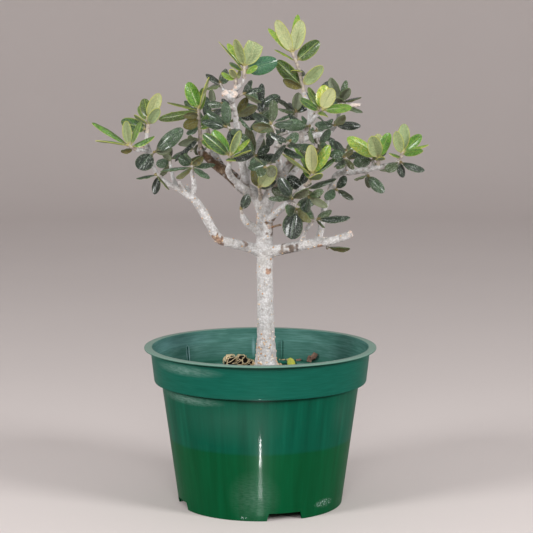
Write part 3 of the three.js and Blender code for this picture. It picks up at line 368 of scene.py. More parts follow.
# The leafy shoots. Each has a name, the age of its leaves, its number of filler pairs and its line from the
# wood to its bud. Then come the leaves listed one by one, as [place along the line, tip x, y, z, width, face].
shoots = [
  ["far left", "new", 1, [[-85, -20, 253], [-88, -24, 255], [-91, -28, 257]], [
    [1, -115, -31, 273, 4.9, 0.15], [0.89, -112, -35, 261, 4.9, -0.25], [1, -92, -37, 274, 6.3, -0.9],
    [0.73, -82, -20, 273, 4.9, 0.3], [0.45, -96, -28, 252, 5.6, -0.5],
  ]],
  ["left upright", "new", 1, [[-79, -12, 262], [-78, -11, 268], [-78, -10, 275]], [
    [0.61, -70, -19, 282, 7, -0.9], [1, -70, -16, 292, 8.4, -0.9], [0.95, -81, -2, 288, 8.4, 0.9],
    [0.83, -86, -5, 282, 5.6, 0.6], [0.51, -82, 3, 266, 7, 0.7], [0.3, -97, -9, 272, 9.1, 0.9],
  ]],
  ["left inner", "old", 1, [[-77, -15, 248], [-75, -20, 250], [-73, -24, 252]], [
    [0.95, -53, -27, 268, 10, 0.8], [1, -62, -14, 256, 8.4, -0.8], [0.89, -84, -29, 241, 12, 0.8],
  ]],
  ["left low", "old", 1, [[-69, -19, 234], [-70, -25, 236], [-72, -30, 237]], [
    [1, -85, -34, 235, 5.6, -0.4], [0.61, -73, -29, 223, 5.6, 0.8], [0.89, -62, -37, 227, 5.6, -0.5],
  ]],
  ["left back", "old", 1, [[-63, 10, 238], [-64, 14, 242], [-64, 17, 245]], [
    [0.89, -74, 10, 241, 7, 0.7], [1, -67, 25, 259, 7, 0.5], [0.95, -53, 27, 250, 6.3, 0.4],
    [0.61, -73, 29, 231, 6.3, 0.3],
  ]],
  ["left middle", "old", 1, [[-47, -24, 237], [-47, -25, 241], [-47, -26, 244]], [
    [1, -56, -31, 249, 7, 0.8], [1, -39, -30, 249, 5.6, -0.8], [0.67, -31, -27, 244, 5.6, 0.4],
    [0.56, -69, -29, 240, 5.6, -0.2], [0.45, -58, -35, 235, 5.6, -0.5], [0.56, -34, -34, 235, 5.6, 0.4],
  ]],
  ["front left bright", "new", 1, [[-21, -33, 244], [-21, -36, 248], [-20, -39, 251]], [
    [1, -33, -31, 267, 8.4, 0.95], [0.78, -39, -42, 266, 8.4, 0.7], [1, -14, -46, 268, 5.6, -0.9],
    [0.83, -7, -43, 261, 4.2, 0.1], [0.61, -6, -43, 255, 4.2, -0.2], [0.45, -5, -32, 251, 6.3, 0.8],
  ]],
  ["mid left", "new", 1, [[-43, 12, 251], [-42, 8, 257], [-43, 3, 269], [-43, -2, 281]], [
    [1, -51, 3, 299, 9.7, 0.9], [0.97, -36, -8, 303, 4.9, -0.3], [0.95, -65, -5, 285, 3.5, 0.1],
    [0.92, -71, -5, 273, 6.3, 0.8], [0.78, -63, 6, 278, 3.5, 0.1], [0.83, -54, -8, 278, 5.6, -0.8],
    [0.73, -54, -8, 269, 8.4, -0.9], [0.61, -52, 1, 263, 5.6, 0.5], [0.89, -40, 8, 295, 5.6, 0.4],
    [0.29, -58, -1, 256, 6.3, -0.8], [0.33, -60, -4, 245, 4.9, 0.3], [0.29, -31, 1, 252, 5.6, 0.3],
  ]],
  ["mid left dark", "old", 1, [[-37, 40, 258], [-38, 38, 265], [-39, 34, 272]], [
    [1, -53, 28, 286, 6.3, 0.5], [0.89, -27, 29, 280, 6.3, 0.6], [0.78, -52, 32, 265, 6.3, 0.3],
    [0.95, -38, 42, 288, 6.3, 0.7], [0.61, -25, 33, 268, 6.3, 0.5],
  ]],
  ["dark left a", "old", 1, [[-16, -4, 264], [-20, -10, 267], [-24, -14, 269]], [
    [0.83, -25, -16, 286, 7, 0.8], [1, -40, -20, 273, 6.3, 0.7], [1, -38, -12, 280, 6.3, 0.5],
    [0.73, -20, -20, 255, 6.3, 0.4],
  ]],
  ["dark left b", "old", 1, [[-18, -7, 280], [-22, -12, 283], [-26, -15, 285]], [
    [0.78, -27, -11, 300, 5.6, 0.5], [1, -37, -19, 285, 5.6, 0.4], [1, -34, -7, 293, 5.6, 0.6],
    [0.89, -31, -22, 274, 5.6, 0.3],
  ]],
  ["dark left c", "old", 1, [[-17, -6, 273], [-16, 1, 274], [-16, 8, 277]], [
    [1, -27, 14, 288, 6.3, 0.6], [1, -9, -1, 289, 6.3, -0.8], [0.83, -6, 0, 265, 4.9, 0.4],
  ]],
  ["upright left", "old", 1, [[-25, -5, 293], [-27, -3, 296], [-28, -2, 299]], [
    [1, -38, -5, 305, 5.6, 0.6], [1, -25, 4, 309, 5.6, 0.7], [0.78, -38, -8, 295, 5.6, 0.4],
    [0.78, -20, 6, 306, 4.9, 0.6],
  ]],
  ["upright tip", "new", 1, [[-17, -9, 296], [-17, -11, 299], [-17, -12, 303]], [
    [0.78, -27, -15, 306, 4.9, 0.5], [1, -20, -16, 309, 4.9, -0.7], [1, -14, -7, 307, 4.2, -0.6],
  ]],
  ["upright top", "new", 1, [[-12, -13, 300], [-11, -14, 304], [-11, -15, 311]], [
    [0.61, -29, -19, 327, 4.2, 0.1], [0.89, -23, -10, 326, 5.6, 0.8], [1, -17, -21, 329, 6.3, -0.8],
    [0.51, -2, -20, 311, 4.9, 0.6], [0.7, 12, -7, 314, 11.9, 0.9], [0.92, -3, -21, 327, 12, -0.9],
  ]],
  ["upright right", "old", 1, [[-20, -8, 287], [-15, -12, 290], [-11, -16, 292]], [
    [0.89, 1, -20, 296, 4.9, 0.4], [0.78, -6, -12, 301, 5.6, 0.6], [1, 1, -22, 286, 5.6, -0.5],
  ]],
  ["top middle", "old", 1, [[-2, 52, 268], [-1, 50, 276], [0, 46, 282]], [
    [1, 14, 42, 288, 8.4, 0.8], [0.95, -10, 50, 296, 6.3, 0.6], [0.78, -15, 43, 282, 6.3, 0.5],
    [0.73, 11, 53, 271, 6.3, 0.5], [1, 1, 52, 297, 5.6, 0.5],
  ]],
  ["inner left", "old", 1, [[3, 22, 269], [1, 19, 273], [0, 16, 276]], [
    [1, 11, 12, 279, 6.3, 0.6], [1, -7, 12, 278, 6.3, 0.6], [0.67, -6, 12, 265, 6.3, 0.4],
    [0.61, 7, 26, 264, 6.3, 0.5], [1, 1, 23, 291, 5.6, 0.6],
  ]],
  ["middle front", "old", 1, [[10, -44, 264], [9, -48, 269], [7, -51, 273]], [
    [0.67, -6, -52, 271, 7.7, -0.8], [1, -6, -49, 279, 6.3, 0.7], [0.83, 22, -51, 275, 6.3, 0.6],
    [1, 9, -52, 289, 6.3, 0.6], [0.51, 5, -55, 258, 5.6, 0.6],
  ]],
  ["middle front low", "old", 1, [[12, -32, 250], [8, -39, 246], [3, -44, 243]], [
    [0.89, -3, -47, 251, 7, -0.5], [1, -2, -51, 238, 6.3, 0.6], [0.95, 10, -50, 237, 7, -0.8],
    [0.73, 16, -46, 258, 5.6, 0.4],
  ]],
  ["left of centre", "old", 1, [[-7, 14, 244], [-5, 6, 247], [-3, -1, 248]], [
    [1, 6, -4, 255, 6.3, 0.6], [0.83, -14, -5, 254, 6.3, 0.5], [1, -4, -8, 239, 7, -0.4],
    [0.95, -15, 3, 265, 7, 0.8], [0.78, -9, 10, 268, 7, -0.8],
  ]],
  ["centre low", "new", 1, [[0, -2, 216], [0, -10, 222], [-1, -15, 227]], [
    [1, 10, -20, 243, 10.5, -0.95], [0.89, 11, -18, 232, 4.9, 0.4], [0.95, -6, -17, 239, 6.3, -0.6],
  ]],
  ["centre leaf", "old", 1, [[22, 2, 265], [16, 0, 263], [12, -3, 262]], [
    [0.89, 4, -7, 262, 6.3, 0.8], [0.67, 15, 2, 272, 5.6, 0.4], [0.73, 11, -10, 254, 5.6, 0.6],
  ]],
  ["centre top", "old", 1, [[24, 6, 273], [25, 4, 275], [25, 1, 279]], [
    [1, 27, -4, 292, 7.7, -0.9], [0.95, 12, 7, 289, 4.2, 0.2], [0.89, 13, 0, 281, 4.2, 0.3],
    [0.73, 10, -1, 273, 4.2, 0.2], [0.78, 36, 11, 286, 6.3, 0.6],
  ]],
  ["spotted", "old", 1, [[31, -11, 266], [34, -19, 269], [34, -22, 270]], [
    [1, 15, -26, 271, 8.4, 0.95], [0.89, 37, -27, 258, 5.6, -0.5],
  ]],
  ["right spray", "old", 1, [[39, 2, 262], [41, -3, 256], [40, -7, 252]], [
    [0.95, 46, -13, 256, 5.6, 0.6], [0.73, 43, -14, 253, 6.3, -0.6], [1, 25, -16, 256, 5.6, 0.5],
  ]],
  ["yellow right", "new", 1, [[39, -19, 277], [41, -22, 280], [43, -25, 281]], [
    [1, 49, -31, 296, 9.6, -0.95], [0.83, 44, -20, 298, 9.8, 0.6], [0.67, 33, -24, 296, 4.9, 0.6],
    [0.51, 27, -26, 289, 5.6, 0.6], [0.95, 63, -28, 283, 6.3, 0.8],
  ]],
  ["leader dark", "old", 1, [[34, -6, 280], [36, 3, 278], [38, 10, 278]], [
    [1, 31, 8, 292, 8.4, 0.8], [1, 50, 18, 300, 8.4, 0.8], [0.78, 46, 15, 271, 6.3, 0.4],
  ]],
  ["leader", "new", 1, [[31, -3, 290], [29, -1, 298], [28, -2, 305], [25, -3, 313], [22, -4, 320]], [
    [1, 11, -12, 342, 8.4, -0.9], [1, 29, -13, 342, 9.8, -0.95], [0.97, 27, 2, 346, 5.6, 0.6],
    [0.97, 5, -1, 336, 5.6, 0.5], [0.78, 10, 0, 322, 3.5, 0.1], [0.78, 41, 3, 328, 9.8, 0.9],
    [0.22, 43, -7, 311, 8.6, -0.9], [0.21, 11, 2, 314, 9.8, 0.9], [0.16, 15, -10, 302, 7, -0.6],
    [0.6, 32, 8, 306, 5.6, 0.5],
  ]],
  ["right top", "old", 1, [[56, 16, 279], [57, 17, 283], [57, 18, 287]], [
    [0.95, 49, 15, 302, 7.7, -0.6], [1, 62, 24, 300, 4.9, 0.7], [1, 62, 12, 295, 6.3, -0.8],
    [0.67, 47, 23, 286, 6.3, 0.4], [0.51, 72, 11, 278, 4.9, 0.5],
  ]],
  ["right top low", "old", 1, [[54, 14, 271], [53, 7, 270], [52, 1, 269]], [
    [1, 58, -4, 277, 7.7, -0.7], [0.89, 38, -1, 269, 6.3, 0.6], [1, 71, -1, 268, 6.3, 0.7],
  ]],
  ["yellow centre", "new", 1, [[29, -25, 228], [33, -29, 231], [36, -33, 238]], [
    [1, 34, -40, 258, 8.4, -0.95], [0.97, 47, -37, 258, 7.7, 0.5], [0.92, 22, -35, 257, 4.2, 0.1],
    [0.86, 15, -37, 252, 4.9, -0.4], [0.89, 52, -36, 248, 4.9, 0.3], [0.95, 28, -24, 254, 6.3, 0.6],
    [0.97, 43, -21, 253, 7, 0.5],
  ]],
  ["centre right a", "old", 1, [[25, -20, 223], [23, -26, 221], [22, -30, 220]], [
    [0.95, 12, -32, 234, 8.4, 0.8], [1, 7, -28, 226, 8.4, 0.7], [0.95, 5, -36, 222, 4.2, 0.2],
    [0.89, 32, -41, 230, 7.7, -0.6],
  ]],
  ["centre right b", "old", 1, [[27, -21, 225], [30, -14, 225], [32, -8, 225]], [
    [0.89, 19, -12, 234, 8.4, 0.7], [1, 53, -11, 233, 5.6, 0.6], [1, 43, -15, 220, 6.3, 0.5],
    [0.67, 33, -6, 238, 7, 0.6],
  ]],
  ["centre right hang", "old", 1, [[21, -17, 218], [24, -24, 216], [25, -30, 213]], [
    [1, 20, -35, 193, 14, 0.95], [0.78, 18, -32, 212, 8.4, 0.8], [0.95, 36, -35, 207, 7.7, -0.7],
  ]],
  ["centre right c", "old", 1, [[29, -25, 228], [32, -31, 225], [33, -36, 222]], [
    [1, 30, -44, 213, 7.7, 0.5], [0.95, 46, -39, 215, 6.3, -0.7], [0.89, 42, -41, 227, 5.6, 0.5],
  ]],
  ["thin twig", "old", 1, [[34, -21, 201], [36, -24, 204], [40, -26, 206]], [
    [1, 62, -32, 208, 7, 0.4], [0.61, 27, -29, 205, 4.9, -0.3], [0.83, 44, -33, 201, 3.5, -0.5],
    [0.89, 50, -20, 212, 5.6, 0.4],
  ]],
  ["low right", "old", 0, [[46, -14, 188], [47, -10.5, 186], [47, -7.5, 183.5]], [
    [1, 63, -13, 184, 7.7, 0.4],
  ]],
  ["right upright side", "old", 1, [[50, -6, 227], [52, -11, 226], [53, -14, 225]], [
    [1, 65, -18, 219, 4.9, 0.3], [0.78, 59, -21, 234, 6.3, 0.4],
  ]],
  ["right limb front", "old", 1, [[59, -32, 245], [58, -36, 248], [57, -39, 250]], [
    [1, 61, -43, 256, 6.3, -0.6], [0.95, 48, -36, 253, 7, 0.8], [0.78, 64, -43, 242, 4.2, 0.3],
    [0.61, 52, -42, 241, 6.3, 0.3], [1, 52, -34, 260, 5.6, 0.5],
  ]],
  ["right limb back", "old", 1, [[61, 26, 239], [61, 30, 244], [62, 33, 249]], [
    [1, 50, 30, 258, 7, 0.6], [1, 69, 39, 258, 6.3, 0.6], [0.73, 74, 26, 250, 6.3, 0.5],
    [0.67, 51, 35, 243, 6.3, 0.4],
  ]],
  ["right limb a", "old", 1, [[78, -10, 239], [79, -5, 243], [79, 0, 245]], [
    [0.89, 65, -5, 243, 8.4, 0.9], [1, 66, 2, 251, 4.9, 0.4], [0.95, 89, 7, 253, 6.3, 0.5],
  ]],
  ["right limb b", "new", 1, [[82, -11, 240], [82, -13, 245], [82, -15, 248]], [
    [0.95, 60, -20, 262, 9.1, 0.9], [1, 76, -22, 263, 10, -0.95], [1, 82, -9, 264, 7.7, -0.6],
    [0.89, 89, -12, 265, 7.7, 0.9],
  ]],
  ["right limb low", "old", 1, [[74, -9, 238], [74, -13, 236], [75, -16, 235]], [
    [0.95, 85, -19, 223, 7.7, 0.8], [0.89, 65, -20, 233, 6.3, -0.5], [0.73, 76, -8, 225, 4.2, 0.2],
  ]],
  ["right end", "new", 1, [[95, -13, 244], [97, -15, 247], [99, -16, 252]], [
    [0.73, 93, -22, 266, 7, -0.9], [1, 100, -20, 271, 8.4, -0.9], [1, 112, -12, 263, 7.7, 0.8],
    [0.89, 116, -19, 257, 4.9, 0.2], [0.78, 111, -21, 253, 5.6, 0.6], [0.56, 89, -20, 251, 4.9, 0.2],
  ]],
  ["right end old", "old", 1, [[95, -13, 244], [95, -19, 245], [97, -23, 245]], [
    [1, 113, -26, 239, 5.6, 0.4], [0.78, 99, -27, 234, 5.6, 0.5],
  ]],
  ["back right", "old", 1, [[39, 58, 253], [40, 60, 258], [41, 61, 262]], [
    [1, 31, 66, 273, 6.3, 0.5], [1, 53, 66, 271, 6.3, 0.5], [0.78, 26, 57, 256, 6.3, 0.4],
    [0.73, 56, 66, 256, 6.3, 0.4],
  ]],
  ["back low left", "old", 3, [[-33, 27, 248], [-42, 30, 246], [-50, 36, 250]], []],
  ["back left high", "old", 3, [[-39, 50, 269], [-37, 57, 276], [-34, 62, 283]], []],
  ["back middle low", "old", 3, [[-8, 34, 248], [-3, 42, 243], [1, 53, 244]], []],
  ["back right low", "old", 3, [[21, 36, 229], [20, 45, 224], [22, 57, 227]], []],
  ["back right side", "old", 3, [[33, 52, 244], [45, 50, 247], [56, 46, 251]], []],
  ["front middle high", "old", 3, [[11, -40, 258], [16, -49, 257], [20, -58, 262]], []],
  ["lower stub", "old", 0, [[-12, -13, 206], [-13, -15, 209.5], [-13.6, -16.2, 212]], [
    [0.89, -8.5, -18, 222, 7, 0.8],
  ]],
]

# Where each shoot and leaf goes, by the same rules as in the part's source.
growth = {
    "twigRadius": 1.25,
    "spurRadius": 1.35,
    "limbEndReach": 1.6,
    "spurLength": 3.2,
    "jointGap": 0.3,
    "rootMargin": 1.3,
    "arch": 0.05,
    "droop": 0.12,
    "fullness": 0.55,
    "bladeClearance": 1.5,
    "woodClearance": 0.5,
    "depthTries": [0, 3, -3, 6, -6, 9, -9, 12, -12, 15, -15],
    "fillerTries": 6,
    # filler leaves: least value and the most that is added to it
    "fillerSpread": (50, 35),
    "fillerLength": (12.5, 6),
    "fillerWidth": 0.42,        # as a share of the length
    "fillerTurn": 0.2,          # turned on by this share of half a turn at each try
}


def draw(shootIndex, leafIndex):
    state = 7919 * (shootIndex + 1) + 104729 * (leafIndex + 1)
    for _ in range(4):
        state = state * 16807 % 2147483647
    return state / 2147483647


def unit(vector):
    return vector / math.sqrt(vector @ vector)


def pointAt(path, place):
    lengths = [math.dist(a, b) for a, b in zip(path, path[1:])]
    rest = place * sum(lengths)
    i = 0
    while i < len(lengths) - 1 and rest > lengths[i]:
        rest -= lengths[i]
        i += 1
    return path[i] + (path[i + 1] - path[i]) * min(rest / lengths[i], 1)


def makeLeaf(base, tip, axis, width, face):
    length = math.dist(base, tip)
    along = (tip - base) / length
    inward = unit(axis - along * (axis @ along))
    front = unit(np.array([0.0, -1.0, 0.0]) + along * along[1])
    normal = unit(inward * (1 - abs(face)) + front * face)
    return {"base": base, "along": along, "across": np.cross(normal, along), "normal": normal,
            "length": length, "width": width, "order": None}


def bladePoints(leaf, u, v):
    # u runs from root to tip, v from one edge to the other
    bulge = 4 * u * (1 - u)
    half = leaf["width"] / 2 * bulge ** growth["fullness"]
    rise = bulge * growth["arch"] * leaf["length"] - growth["droop"] * leaf["width"] * v * v * bulge
    return (leaf["base"] + np.outer(u, leaf["along"]) * leaf["length"] + np.outer(v * half, leaf["across"])
            + np.outer(rise, leaf["normal"]))


# where a blade is tested against the rest, from root to tip and from edge to edge
sampleU = np.repeat(0.12 + 0.86 * np.arange(7) / 6, 4)
sampleV = np.tile([-0.9, -0.3, 0.3, 0.9], 7)
woodOwner = -1
obstacles = []      # [x, y, z, radius, owner]


def isClear(leaf, owner, checkOwn):
    outer = bladePoints(leaf, sampleU, sampleV)
    others = np.array(obstacles)
    mine = others[:, 4] == owner
    reach = (others[:, 3] + growth["bladeClearance"]) ** 2
    near = ((outer[:, None, :] - others[None, :, :3]) ** 2).sum(2) < reach[None, :]
    if near[:, ~mine].any():
        return False
    # the first two rows of samples lie at the leaf's own twig
    return not (checkOwn and near[8:, mine].any())


def keepLeaf(shoot, leaf):
    shoot["leaves"].append(leaf)
    for point in bladePoints(leaf, sampleU, sampleV):
        obstacles.append([*point, growth["bladeClearance"], shoot["index"]])


def markLimbs():
    for _, rings in limbs:
        for a, b in zip(rings, rings[1:]):
            steps = math.ceil(math.dist(a[:3], b[:3]) / 2)
            for k in range(steps + 1):
                x, y, z, radius = [p + (q - p) * k / steps for p, q in zip(a, b)]
                obstacles.append([x, y, z, radius + growth["woodClearance"], woodOwner])


def startShoot(index, name, age, pairs, line, handSet):
    path = [np.array(point, float) for point in line]
    length = sum(math.dist(a, b) for a, b in zip(path, path[1:]))
    axis = unit(unit(path[-1] - path[0]) + np.array([0.0, 0.0, 1.0]))
    twigStart = (growth["spurLength"] + growth["jointGap"]) / length
    place = twigStart
    while place <= 1:
        obstacles.append([*pointAt(path, place), growth["twigRadius"] + growth["woodClearance"], index])
        place += 1.5 / length
    return {"name": name, "index": index, "age": age, "pairs": pairs, "handSet": handSet,
            "path": path, "length": length, "axis": axis, "twigStart": twigStart, "leaves": []}


def rootAt(shoot, place):
    margin = growth["rootMargin"] / shoot["length"]
    return pointAt(shoot["path"], min(max(place, shoot["twigStart"] + margin), 1 - margin))


def setLeaves(shoot):
    # each listed leaf takes the first depth at which it is clear of the rest
    for order, (place, x, y, z, width, face) in enumerate(shoot["handSet"]):
        base = rootAt(shoot, place)
        tries = [makeLeaf(base, np.array([x, y + shift, z], float), shoot["axis"], width, face)
                 for shift in growth["depthTries"]]
        for checkOwn in (True, False):
            chosen = next((leaf for leaf in tries if isClear(leaf, shoot["index"], checkOwn)), None)
            if chosen:
                chosen["order"] = order
                keepLeaf(shoot, chosen)
                break


def fillShoot(shoot):
    # filler leaves grow in opposite pairs, each pair a quarter turn on from the last
    index, axis, pairs = shoot["index"], shoot["axis"], shoot["pairs"]
    (leastSpread, moreSpread), (leastSize, moreSize) = growth["fillerSpread"], growth["fillerLength"]
    sideways = unit(np.array([1.0, 0.0, 0.0]) - axis * axis[0])
    upward = np.cross(axis, sideways)
    for k in range(pairs * 2):
        pair = k // 2
        share = 0.5 if pairs == 1 else pair / (pairs - 1)
        base = rootAt(shoot, shoot["twigStart"] + (1 - shoot["twigStart"]) * share)
        for attempt in range(growth["fillerTries"]):
            key = k * growth["fillerTries"] + attempt
            turn = math.pi * (pair / 2 + k % 2) + (draw(index, 0) + growth["fillerTurn"] * attempt) * math.pi
            spread = math.radians(leastSpread + moreSpread * draw(index, 3 * key + 1))
            size = leastSize + moreSize * draw(index, 3 * key + 2)
            turned = sideways * math.cos(turn) + upward * math.sin(turn)
            direction = axis * math.cos(spread) + turned * math.sin(spread)
            leaf = makeLeaf(base, base + direction * size, axis, size * growth["fillerWidth"], 0)
            if isClear(leaf, index, True):
                keepLeaf(shoot, leaf)
                break


markLimbs()
plants = [startShoot(index, *row) for index, row in enumerate(shoots)]
for shoot in plants:
    setLeaves(shoot)
for shoot in plants:
    fillShoot(shoot)
print("leaves placed:", sum(len(shoot["leaves"]) for shoot in plants))


# the pot and what fills it

# Oval marks on the wall: bearing in radians, height, half their width in radians, half their height,
# strength, and the share of them that is at full strength.
potMarks = {
    "chalk": [(-2.32, 105.5, 0.45, 4.5, 0.34, 0.0), (-2.36, 83.5, 0.5, 4.2, 0.34, 0.0),
              (-1.64, 16, 0.32, 22, 0.12, 0.0)],
    "haze": [(-0.6, 72, 0.2, 18, 0.03, 0.0), (-1.9, 72, 0.7, 20, 0.035, 0.0)],
    "scratches": [(-0.73, 8.5, 0.17, 3.5, 0.9, 0.5), (-1.77, 2.5, 0.05, 1.2, 1.0, 0.6)],
    "limed rim": [(2.65, 107.5, 0.7, 7, 0.4, 0.1)],
    # painted highlights on the inner wall: a painted reflection on the back wall beside the trunk, and a painted
    # glint along the left rib
    "painted highlights": [(1.64, 98.5, 0.022, 8.5, 0.5, 0.0), (2.374, 97.5, 0.026, 7.5, 0.6, 0.3)],
}


def potPlasticMaterial(name, inside, coat):
    # injection-moulded polypropylene: deep green with a soft waxy gloss, greener below a level line that is a painted
    # reflection boundary, faint flow streaks down the wall and chalky water marks; inside it is dull under a film of
    # lime
    material, tree, surface = newMaterial(name, {
        "IOR": 1.49, "Roughness": 0.6 if inside else 0.42, "Specular IOR Level": 0.035,
        "Coat Weight": coat, "Coat Roughness": 0.1})
    place = objectPlace(tree)
    x, y, up = addNode(tree, "ShaderNodeSeparateXYZ", {0: place}).outputs
    wall = addNode(tree, "ShaderNodeCombineXYZ", {0: calc(tree, "ARCTAN2", y, x), 1: up}).outputs[0]

    def onWall(scale, shift=(0, 0, 0)):
        return addNode(tree, "ShaderNodeMapping", {"Scale": scale, "Location": shift, "Vector": wall}).outputs[0]

    def wallNoise(across, rise, detail=4):
        # across counts per radian round the pot and rise per metre up it
        return noiseAt(tree, onWall((across, rise, 1)), 1, detail, 0.6)

    def marks(kind):
        strongest = 0.0
        for bearing, height, wide, tall, strength, core in potMarks[kind]:
            offset = onWall((1 / wide, 1 / (tall * mm), 0), (-bearing / wide, -height / tall, 0))
            away = addNode(tree, "ShaderNodeVectorMath", {"operation": "LENGTH", 0: offset}).outputs[1]
            strongest = calc(tree, "MAXIMUM", strongest, fade(tree, away, core, 1.0, strength, 0.0))
        return strongest

    streaks = wallNoise(11, 10)
    strokes = wallNoise(5, 900, 3)
    grain = noiseAt(tree, place, 900, 2)
    if inside:
        chalk = ramp(tree, wallNoise(3, 120), (0.3, "#39635a"), (0.7, "#527a73"))
        tone = mixed(tree, ramp(tree, strokes, (0.4, 0.55), (0.58, 0.0)), chalk, "#2c564c")
        # painted shade: the ledge and the lowest 5 mm of the wall above it are darker, in the corner where they meet
        tone = mixed(tree, fade(tree, up, 0.09, 0.0955, 0.75, 0.0), tone, "#1f4f40")
        tone = mixed(tree, marks("limed rim"), tone, "#5c8488")
        # pale painted highlights on the inner wall
        tone = mixed(tree, marks("painted highlights"), tone, "#8fb0b6")
    else:
        # the wall is painted in two tones at a level line near 49 mm: a painted reflection boundary, greener below it
        paintedReflectionLine = calc(tree, "MULTIPLY_ADD", wallNoise(1.5, 0), 0.0025, up)
        under = ramp(tree, streaks, (0.3, "#003f20"), (0.7, "#004c2b"))
        body = ramp(tree, streaks, (0.25, "#003d2c"), (0.55, "#014a37"), (0.75, "#065440"))
        upper = ramp(tree, strokes, (0.3, "#084b3d"), (0.7, "#105648"))
        tone = mixed(tree, fade(tree, paintedReflectionLine, 0.0485, 0.0505), under, body)
        tone = mixed(tree, fade(tree, up, 0.0875, 0.0885), tone, upper)
        chalk = calc(tree, "MULTIPLY", marks("chalk"), ramp(tree, wallNoise(16, 1100), (0.32, 0.2), (0.6, 1.0)))
        scratched = calc(tree, "MULTIPLY", marks("scratches"),
                         ramp(tree, wallNoise(60, 900), (0.52, 0.0), (0.6, 1.0)))
        worn = calc(tree, "MAXIMUM", calc(tree, "MAXIMUM", chalk, marks("haze")), scratched)
        tone = mixed(tree, worn, tone, "#9db5ae")
        # the lip's top is painted paler as a painted highlight, and painted shade darkens the corners under the band
        # and under the lip
        tone = mixed(tree, fade(tree, up, 0.1116, 0.1124, 0.0, 0.42), tone, "#a9bfb3")
        paintedShade = ramp(tree, calc(tree, "MULTIPLY", up, 8.0), (0.686, 0.0), (0.693, 0.85), (0.7, 0.85), (0.703, 0.0),
                     (0.876, 0.0), (0.8815, 0.8), (0.8905, 0.8), (0.892, 0.0))
        tone = mixed(tree, paintedShade, tone, "#0a261c")
    relief = calc(tree, "ADD", calc(tree, "ADD", streaks, strokes), grain)
    dress(tree, surface, tone, relief, 0.12 if inside else 0.07, 0.4)
    return material


def mottledMaterial(name, shader, noiseLook, stops, relief):
    # noiseLook is scale, detail and roughness, relief is strength and depth in mm
    material, tree, surface = newMaterial(name, shader)
    mottle = noiseAt(tree, objectPlace(tree), *noiseLook)
    dress(tree, surface, ramp(tree, mottle, *stops), mottle, *relief)
    return material


def groundMaterial(name, dark, light, scale):
    # peat and bark fines: dull, matt crumbs that swallow light between them
    return mottledMaterial(name, {"Roughness": 0.95, "IOR": 1.4, "Specular IOR Level": 0.2},
                           (scale, 6, 0.7), [(0.3, dark), (0.72, light)], (0.6, 0.6))


potPlastic = [potPlasticMaterial("mouldedPolypropyleneGreen", False, 0.07),
              potPlasticMaterial("limedPolypropyleneGreen", True, 0.0),
              potPlasticMaterial("uncoatedBandPolypropyleneGreen", False, 0.0)]
peat = groundMaterial("dampPeat", "#1e1712", "#4d3f31", 420)
barkFines = groundMaterial("compostedBarkFines", "#3b2c20", "#7a6147", 500)
paleGrit = groundMaterial("paleGrit", "#8a7656", "#cdb48d", 600)
driedMoss = groundMaterial("driedMossFibre", "#b39a6e", "#eddfbc", 700)
mossShade = groundMaterial("mossShade", "#0b0907", "#221b14", 400)
chipBark = groundMaterial("flakedBark", "#4a352d", "#8a7263", 380)
print("ground materials made")


potShape = {
    "sides": 160,
    "footRadius": 58.4,
    "notch": {"count": 4, "turn": -73, "width": 23, "flare": 3, "height": 5.5, "depth": 12, "below": -1},
    "drain": {"radius": 5, "fromAxis": 44, "sides": 32, "z": 8, "depth": 10},
    # the inner wall: its radius at one height, and how much it widens per mm
    "innerWall": {"radius": 73.8, "z": 90.3, "lean": 0.098},
    "rings": {"from": 103.2, "to": 92.0, "pitch": 1.4, "depth": 0.12},
    # bearing, foot and top of each rib on the inner wall, and how wide it is and how far it stands out
    "ribs": [(136, 88.5, 103), (77.5, 90, 104)],
    "rib": {"width": 1.1, "stand": 1.6, "thick": 3, "bevel": 0.4},
    # where the limed plastic and the uncoated plastic round the band's underside begin and end
    "limedFrom": 88.6, "ribsWithin": 73.6, "uncoatedBand": (85.5, 88.9),
    # the wall's section, from the middle of the underside round to the middle of the floor
    "outside": [
        (20, 6.3), (56.2, 6.3), (56.7, 5.8), (56.7, 0.3), (57.0, 0), (58.1, 0), (58.4, 0.4), (58.54, 1.4),
        (64.4, 44.2), (64.75, 46.9), (70.04, 85.4), (70.2, 86.6), (70.55, 87.5), (71.1, 88.0), (74.6, 88.0),
        (75.2, 88.2), (75.5, 88.8), (75.62, 89.8), (76.6, 98), (77.79, 109.0), (77.9, 110.0), (78.2, 110.9),
        (78.9, 111.35), (82.0, 111.4), (82.4, 111.55), (82.5, 111.95), (82.4, 112.4), (82.0, 112.6),
        (77.1, 112.6), (76.6, 112.45), (76.3, 112.0), (75.95, 105.0), (75.55, 104.3), (75.1, 103.9),
    ],
    "inside": [(73.75, 90.6), (73.4, 89.95), (72.7, 89.7), (69.3, 89.7), (68.8, 89.5), (68.5, 88.8),
               (58.0, 9.2), (57.3, 8.3), (56.4, 8), (20, 8)],
}


def innerRadius(z):
    wall = potShape["innerWall"]
    return wall["radius"] + (z - wall["z"]) * wall["lean"]


def turnedPiece(name, section, sides):
    # one ring is extruded and resized along the section, and both ends are filled
    radius, height = section[0]
    piece = newShape(bpy.ops.mesh.primitive_circle_add, vertices=sides, radius=radius * mm,
                     location=(0, 0, height * mm), fill_type="NGON")
    piece.name = name
    openAll(piece, "EDGE")
    drawOut(section)
    fillEnd()
    return piece


